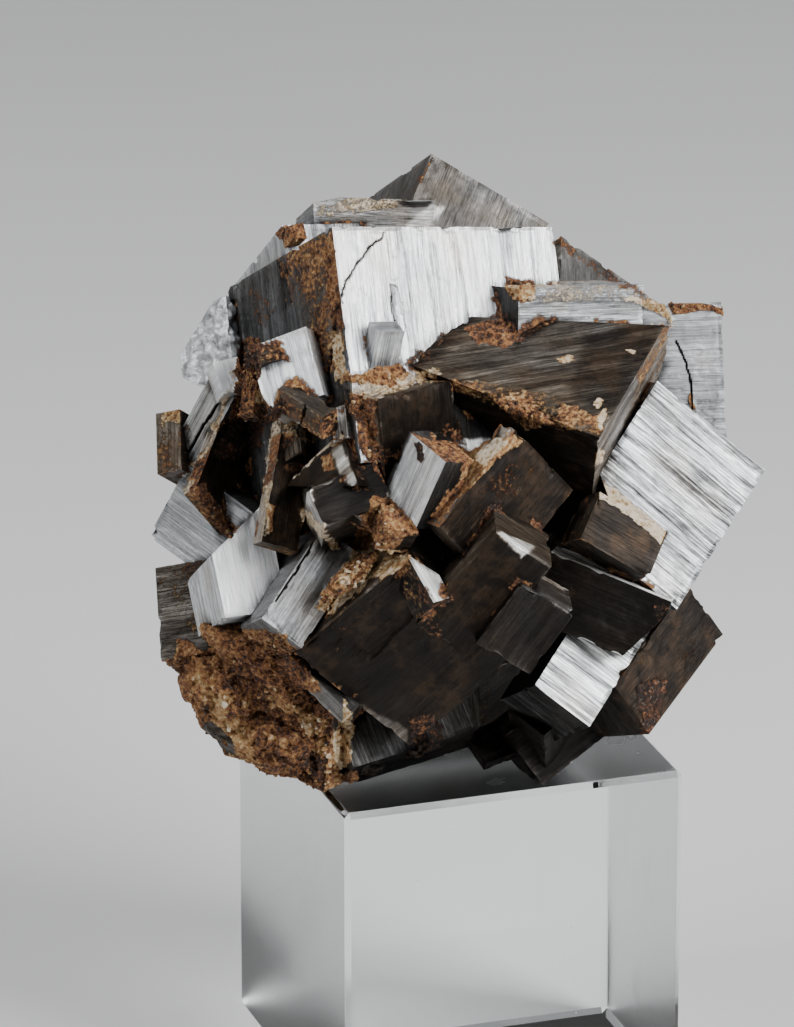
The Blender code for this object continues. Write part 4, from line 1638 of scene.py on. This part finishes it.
@dataclass(frozen=True)
class StriatedLimonite:
    """Grey to black crystal faces with fine streaks, and rust-brown to ochre crust."""

    cool: Stops = (
        (0.0, (0.008, 0.007, 0.007)),
        (0.18, (0.022, 0.021, 0.021)),
        (0.40, (0.105, 0.107, 0.110)),
        (0.66, (0.38, 0.395, 0.41)),
        (0.86, (0.74, 0.76, 0.78)),
        (1.0, (0.92, 0.92, 0.92)),
    )
    warm: Stops = (
        (0.0, (0.009, 0.0065, 0.005)),
        (0.18, (0.026, 0.019, 0.0135)),
        (0.40, (0.105, 0.084, 0.062)),
        (0.66, (0.34, 0.30, 0.25)),
        (0.86, (0.66, 0.63, 0.58)),
        (1.0, (0.86, 0.85, 0.82)),
    )
    crust: Stops = (
        (0.0, (0.014, 0.008, 0.006)),
        (0.22, (0.065, 0.026, 0.013)),
        (0.42, (0.205, 0.083, 0.032)),
        (0.62, (0.33, 0.185, 0.070)),
        (0.82, (0.45, 0.33, 0.175)),
        (1.0, (0.62, 0.52, 0.40)),
    )
    fine_streaks: Place = (0.22, 7.0, 1.0)
    broad_streaks: Place = (0.07, 1.3, 1.0)
    hair_streaks: Place = (0.35, 16.0, 1.0)
    line_range: Spot = (0.38, 0.62)
    band_range: Spot = (0.36, 0.64)
    score_range: Spot = (0.36, 0.44)
    stain_range: Spot = (0.40, 0.62)
    fleck_range: Spot = (0.56, 0.70)
    cover_range: Spot = (0.40, 0.62)
    specular: float = 0.3
    metallic: float = 0.74
    bare_roughness: float = 0.27
    crust_roughness: float = 0.42
    bump_height: float = 0.00018
    bump_strength: float = 0.85
    stain: Place = (0.07, 0.042, 0.024)
    fleck: Place = (0.30, 0.25, 0.20)

    def bare(
        self,
        graph: Graph,
        speckle: bpy.types.NodeSocket,
        patchy: bpy.types.NodeSocket,
        streaks: tuple[bpy.types.NodeSocket, bpy.types.NodeSocket, bpy.types.NodeSocket],
    ) -> bpy.types.NodeSocket:
        """Colour the bare crystal faces.

        Args:
            graph: The material's graph.
            speckle: Fine noise.
            patchy: Broad noise.
            streaks: Fine and broad streaks, and fine dark scores.

        Returns:
            The colour's output.
        """
        fine, broad, scores = streaks
        lines = graph.centred(graph.ease(fine, *self.line_range), 0.26)
        bands = graph.centred(graph.ease(broad, *self.band_range), 0.24)
        swing = graph.add(lines, bands)
        swing = graph.times(swing, graph.add(0.34, graph.times(graph.value("tone"), 1.35)))
        swing = graph.times(swing, graph.value("streak"))
        tone = graph.add(graph.value("tone"), swing)
        tone = graph.less(tone, graph.times(graph.less(1.0, scores), 0.12))
        tone = graph.add(tone, graph.centred(speckle, 0.22))
        # Painted shade of cracks, crevices and grain gaps darkens the bare faces
        tone = graph.less(tone, graph.times(graph.value("dark"), 0.9), True)
        film = graph.value("film")
        metal = graph.mix(film, graph.ramp(tone, self.cool), graph.ramp(tone, self.warm))
        stained = graph.ease(graph.times(film, patchy), *self.stain_range)
        return graph.mix(graph.times(stained, 0.35), metal, self.stain)

    def rust(
        self,
        graph: Graph,
        in_mm: bpy.types.NodeSocket,
        speckle: bpy.types.NodeSocket,
        patchy: bpy.types.NodeSocket,
    ) -> bpy.types.NodeSocket:
        """Colour the crust.

        Args:
            graph: The material's graph.
            in_mm: Where each point lies in millimetres.
            speckle: Fine noise.
            patchy: Broad noise.

        Returns:
            The colour's output.
        """
        uneven = graph.add(graph.centred(speckle, 1.7), graph.centred(patchy, 0.9))
        hue = graph.add(graph.value("ochre"), uneven)
        # Painted shade of cracks, crevices and grain gaps darkens the crust
        hue = graph.less(hue, graph.times(graph.value("dark"), 0.35), True)
        flecks = graph.ease(graph.noise(in_mm, 5.0, 4.0, 0.6), *self.fleck_range)
        return graph.mix(graph.times(flecks, 0.45), graph.ramp(hue, self.crust), self.fleck)

    def build(self) -> bpy.types.Material:
        """Make the material.

        Returns:
            The material, which reads the mesh's tone, crust, ochre, dark (painted shade), film
            and streak values.
        """
        material, graph, surface = new_material("striated_limonite")
        grain = graph.node("ShaderNodeUVMap", uv_map="grain").outputs[0]
        in_mm = graph.stretched(graph.place(), (1000.0, 1000.0, 1000.0))
        fine = graph.noise(graph.stretched(grain, self.fine_streaks), 1.0, 6.0, 0.72)
        broad = graph.noise(graph.stretched(grain, self.broad_streaks), 1.0, 4.0, 0.6)
        hair = graph.noise(graph.stretched(grain, self.hair_streaks), 1.0, 3.0, 0.6)
        speckle = graph.noise(in_mm, 3.2, 6.0, 0.72)
        patchy = graph.noise(in_mm, 0.8, 6.0, 0.68)
        scores = graph.ease(hair, *self.score_range)
        metal = self.bare(graph, speckle, patchy, (fine, broad, scores))
        rust = self.rust(graph, in_mm, speckle, patchy)
        crust = graph.value("crust")
        mottle = graph.times(graph.centred(speckle, 1.3), graph.add(0.35, crust))
        cover = graph.ease(graph.add(crust, mottle), *self.cover_range)
        graph.feed(surface.inputs["Base Color"], graph.mix(cover, metal, rust))
        shine = graph.times(graph.less(1.0, cover), self.metallic)
        graph.feed(surface.inputs["Metallic"], shine)
        matt = graph.add(self.bare_roughness, graph.times(speckle, 0.26))
        rough = graph.add(matt, graph.times(cover, self.crust_roughness), True)
        graph.feed(surface.inputs["Roughness"], rough)
        surface.inputs["Specular IOR Level"].default_value = self.specular
        scored = graph.add(graph.times(fine, 0.45), graph.times(scores, 0.08))
        knobs = graph.times(graph.times(speckle, cover), 1.6)
        graph.bump(surface, graph.add(scored, knobs), self.bump_height, self.bump_strength)
        return material


@dataclass(frozen=True)
class ClearAcrylic:
    """Clear cast acrylic, frosted on its top and its sawn sides, with a few specks."""

    colour: tuple[float, float, float, float] = (0.97, 0.985, 0.99, 1.0)
    roughness: float = 0.02
    frosting: float = 0.34
    top_share: float = 0.7
    smear_roughness: float = 0.07
    dust_roughness: float = 0.3
    ior: float = 1.49
    half_width: float = 0.0127
    height: float = 0.0254
    skin: Spot = (0.00012, 0.00002)
    speck_density: float = 420.0
    speck_range: Spot = (0.02, 0.06)
    smears: Place = (180.0, 180.0, 180.0)
    smear_range: Spot = (0.5, 0.8)
    saw_marks: Place = (90.0, 90.0, 3000.0)
    saw_depth: float = 0.00003
    saw_strength: float = 0.5

    def build(self) -> bpy.types.Material:
        """Make the material.

        Returns:
            A see-through material.
        """
        material, graph, surface = new_material("clear_cast_acrylic")
        place = graph.place()
        parts = graph.node("ShaderNodeSeparateXYZ")
        graph.feed(parts.inputs[0], place)
        outer, inner = self.skin
        side = graph.maths("ABSOLUTE", parts.outputs[0])
        sawn = graph.ease(side, self.half_width - outer, self.half_width - inner)
        top = graph.ease(parts.outputs[2], self.height - outer, self.height - inner)
        marks = graph.noise(graph.stretched(place, self.saw_marks), 1.0, 2.0)
        specks = graph.node("ShaderNodeTexVoronoi")
        graph.feed(specks.inputs["Vector"], place)
        specks.inputs["Scale"].default_value = self.speck_density
        dust = graph.less(1.0, graph.ease(specks.outputs["Distance"], *self.speck_range))
        surface.inputs["Base Color"].default_value = self.colour
        surface.inputs["Transmission Weight"].default_value = 1.0
        surface.inputs["IOR"].default_value = self.ior
        smear = graph.noise(graph.stretched(place, self.smears), 1.0, 4.0)
        smear = graph.ease(smear, *self.smear_range)
        frost = graph.maths("MAXIMUM", sawn, graph.times(top, self.top_share))
        frost = graph.times(frost, self.frosting)
        frost = graph.add(frost, graph.times(dust, self.dust_roughness))
        rough = graph.add(self.roughness, graph.times(smear, self.smear_roughness))
        graph.feed(surface.inputs["Roughness"], graph.add(rough, frost, True))
        graph.bump(surface, graph.times(marks, sawn), self.saw_depth, self.saw_strength)
        return material


@dataclass
class Block:
    """The clear display block."""

    node: str = "acrylic_stand"
    finish: ClearAcrylic = ClearAcrylic()

    def dress(self) -> bpy.types.Object:
        """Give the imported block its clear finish.

        Returns:
            The block.
        """
        block = bpy.data.objects[self.node]
        material = self.finish.build()
        for slot in block.material_slots:
            slot.material = material
        return block


@dataclass
class Studio:
    """Plain pale floor, soft lights and the camera at the photograph's angle."""

    floor_size: float = 3.0
    floor_roughness: float = 0.85
    floor_tones: Stops = ((0.0, (0.66, 0.66, 0.655)), (1.0, (0.72, 0.72, 0.715)))
    key_direction: Place = (0.70, 0.34, 0.62)
    key_distance: float = 0.34
    key_size: float = 0.20
    key_power: float = 2.2
    fill_direction: Place = (-0.62, 0.62, 0.48)
    fill_power: float = 0.9
    sky: tuple[float, float, float, float] = (0.95, 0.97, 1.0, 1.0)
    sky_strength: float = 0.28
    long_side_sensor: float = 36.0

    def floor(self) -> bpy.types.Object:
        """Lay the pale floor.

        Returns:
            The floor.
        """
        mesh = bmesh.new()
        bmesh.ops.create_grid(mesh, x_segments=2, y_segments=2, size=self.floor_size / 2)
        data = bpy.data.meshes.new("floor")
        mesh.to_mesh(data)
        mesh.free()
        floor = bpy.data.objects.new("floor", data)
        bpy.context.scene.collection.objects.link(floor)
        material, graph, surface = new_material("pale_floor")
        shade = graph.ramp(graph.noise(graph.place(), 14.0, 3.0), self.floor_tones)
        graph.feed(surface.inputs["Base Color"], shade)
        surface.inputs["Roughness"].default_value = self.floor_roughness
        data.materials.append(material)
        return floor

    def light(self, name: str, direction: Place, power: float, target: Vector) -> bpy.types.Object:
        """Hang a soft light that faces the ball.

        Args:
            name: The light's name.
            direction: Across, up and toward the eye, from the ball.
            power: Power in watts.
            target: Middle of the ball in the world.

        Returns:
            The light.
        """
        data = bpy.data.lights.new(name, "AREA")
        data.energy = power
        data.size = self.key_size
        light = bpy.data.objects.new(name, data)
        bpy.context.scene.collection.objects.link(light)
        way = Vector(np.array(direction) @ SIGHT.basis()).normalized()
        light.location = target + way * self.key_distance
        light.rotation_mode = "QUATERNION"
        light.rotation_quaternion = way.to_track_quat("Z", "Y")
        return light

    def camera(self, block_top: float) -> bpy.types.Object:
        """Place the camera on the line of sight.

        Args:
            block_top: Height of the clear block's top face in metres.

        Returns:
            The camera.
        """
        data = bpy.data.cameras.new("camera")
        focal_pixels = SIGHT.eye_distance / SIGHT.mm_per_pixel
        data.sensor_width = self.long_side_sensor
        data.lens = self.long_side_sensor * focal_pixels / SIGHT.picture_height
        camera = bpy.data.objects.new("camera", data)
        bpy.context.scene.collection.objects.link(camera)
        eye = np.array([[*SIGHT.axis, SIGHT.eye_distance]])
        camera.location = SIGHT.to_world(eye, block_top)[0]
        camera.rotation_euler = Matrix(SIGHT.basis().tolist()).transposed().to_euler()
        bpy.context.scene.camera = camera
        return camera

    def build(self, block_top: float) -> None:
        """Build the floor, lights, sky and camera.

        Args:
            block_top: Height of the clear block's top face in metres.
        """
        self.floor()
        target = Vector(SIGHT.to_world(np.zeros((1, 3)), block_top)[0])
        self.light("key", self.key_direction, self.key_power, target)
        self.light("fill", self.fill_direction, self.fill_power, target)
        world = bpy.data.worlds.new("studio")
        world.use_nodes = True
        sky = world.node_tree.nodes["Background"]
        sky.inputs["Color"].default_value = self.sky
        sky.inputs["Strength"].default_value = self.sky_strength
        bpy.context.scene.world = world
        self.camera(block_top)


def main() -> None:
    """Build the cluster, the block and the studio, and note the model's sizes."""
    logging.basicConfig(level=logging.INFO, format="%(name)s: %(message)s")
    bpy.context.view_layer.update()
    cluster = Cluster()
    limonite = StriatedLimonite().build()
    for name, piece in cluster.build().items():
        piece.data.materials.append(limonite)
        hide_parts("pseudomorph")
        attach(piece, "root")
        LOG.info("%s: %d faces", name, len(piece.data.polygons))
    block = Block().dress()
    LOG.info("%s dressed", block.name)
    Studio().build(cluster.block_top)


if __name__ == "__main__":
    main()
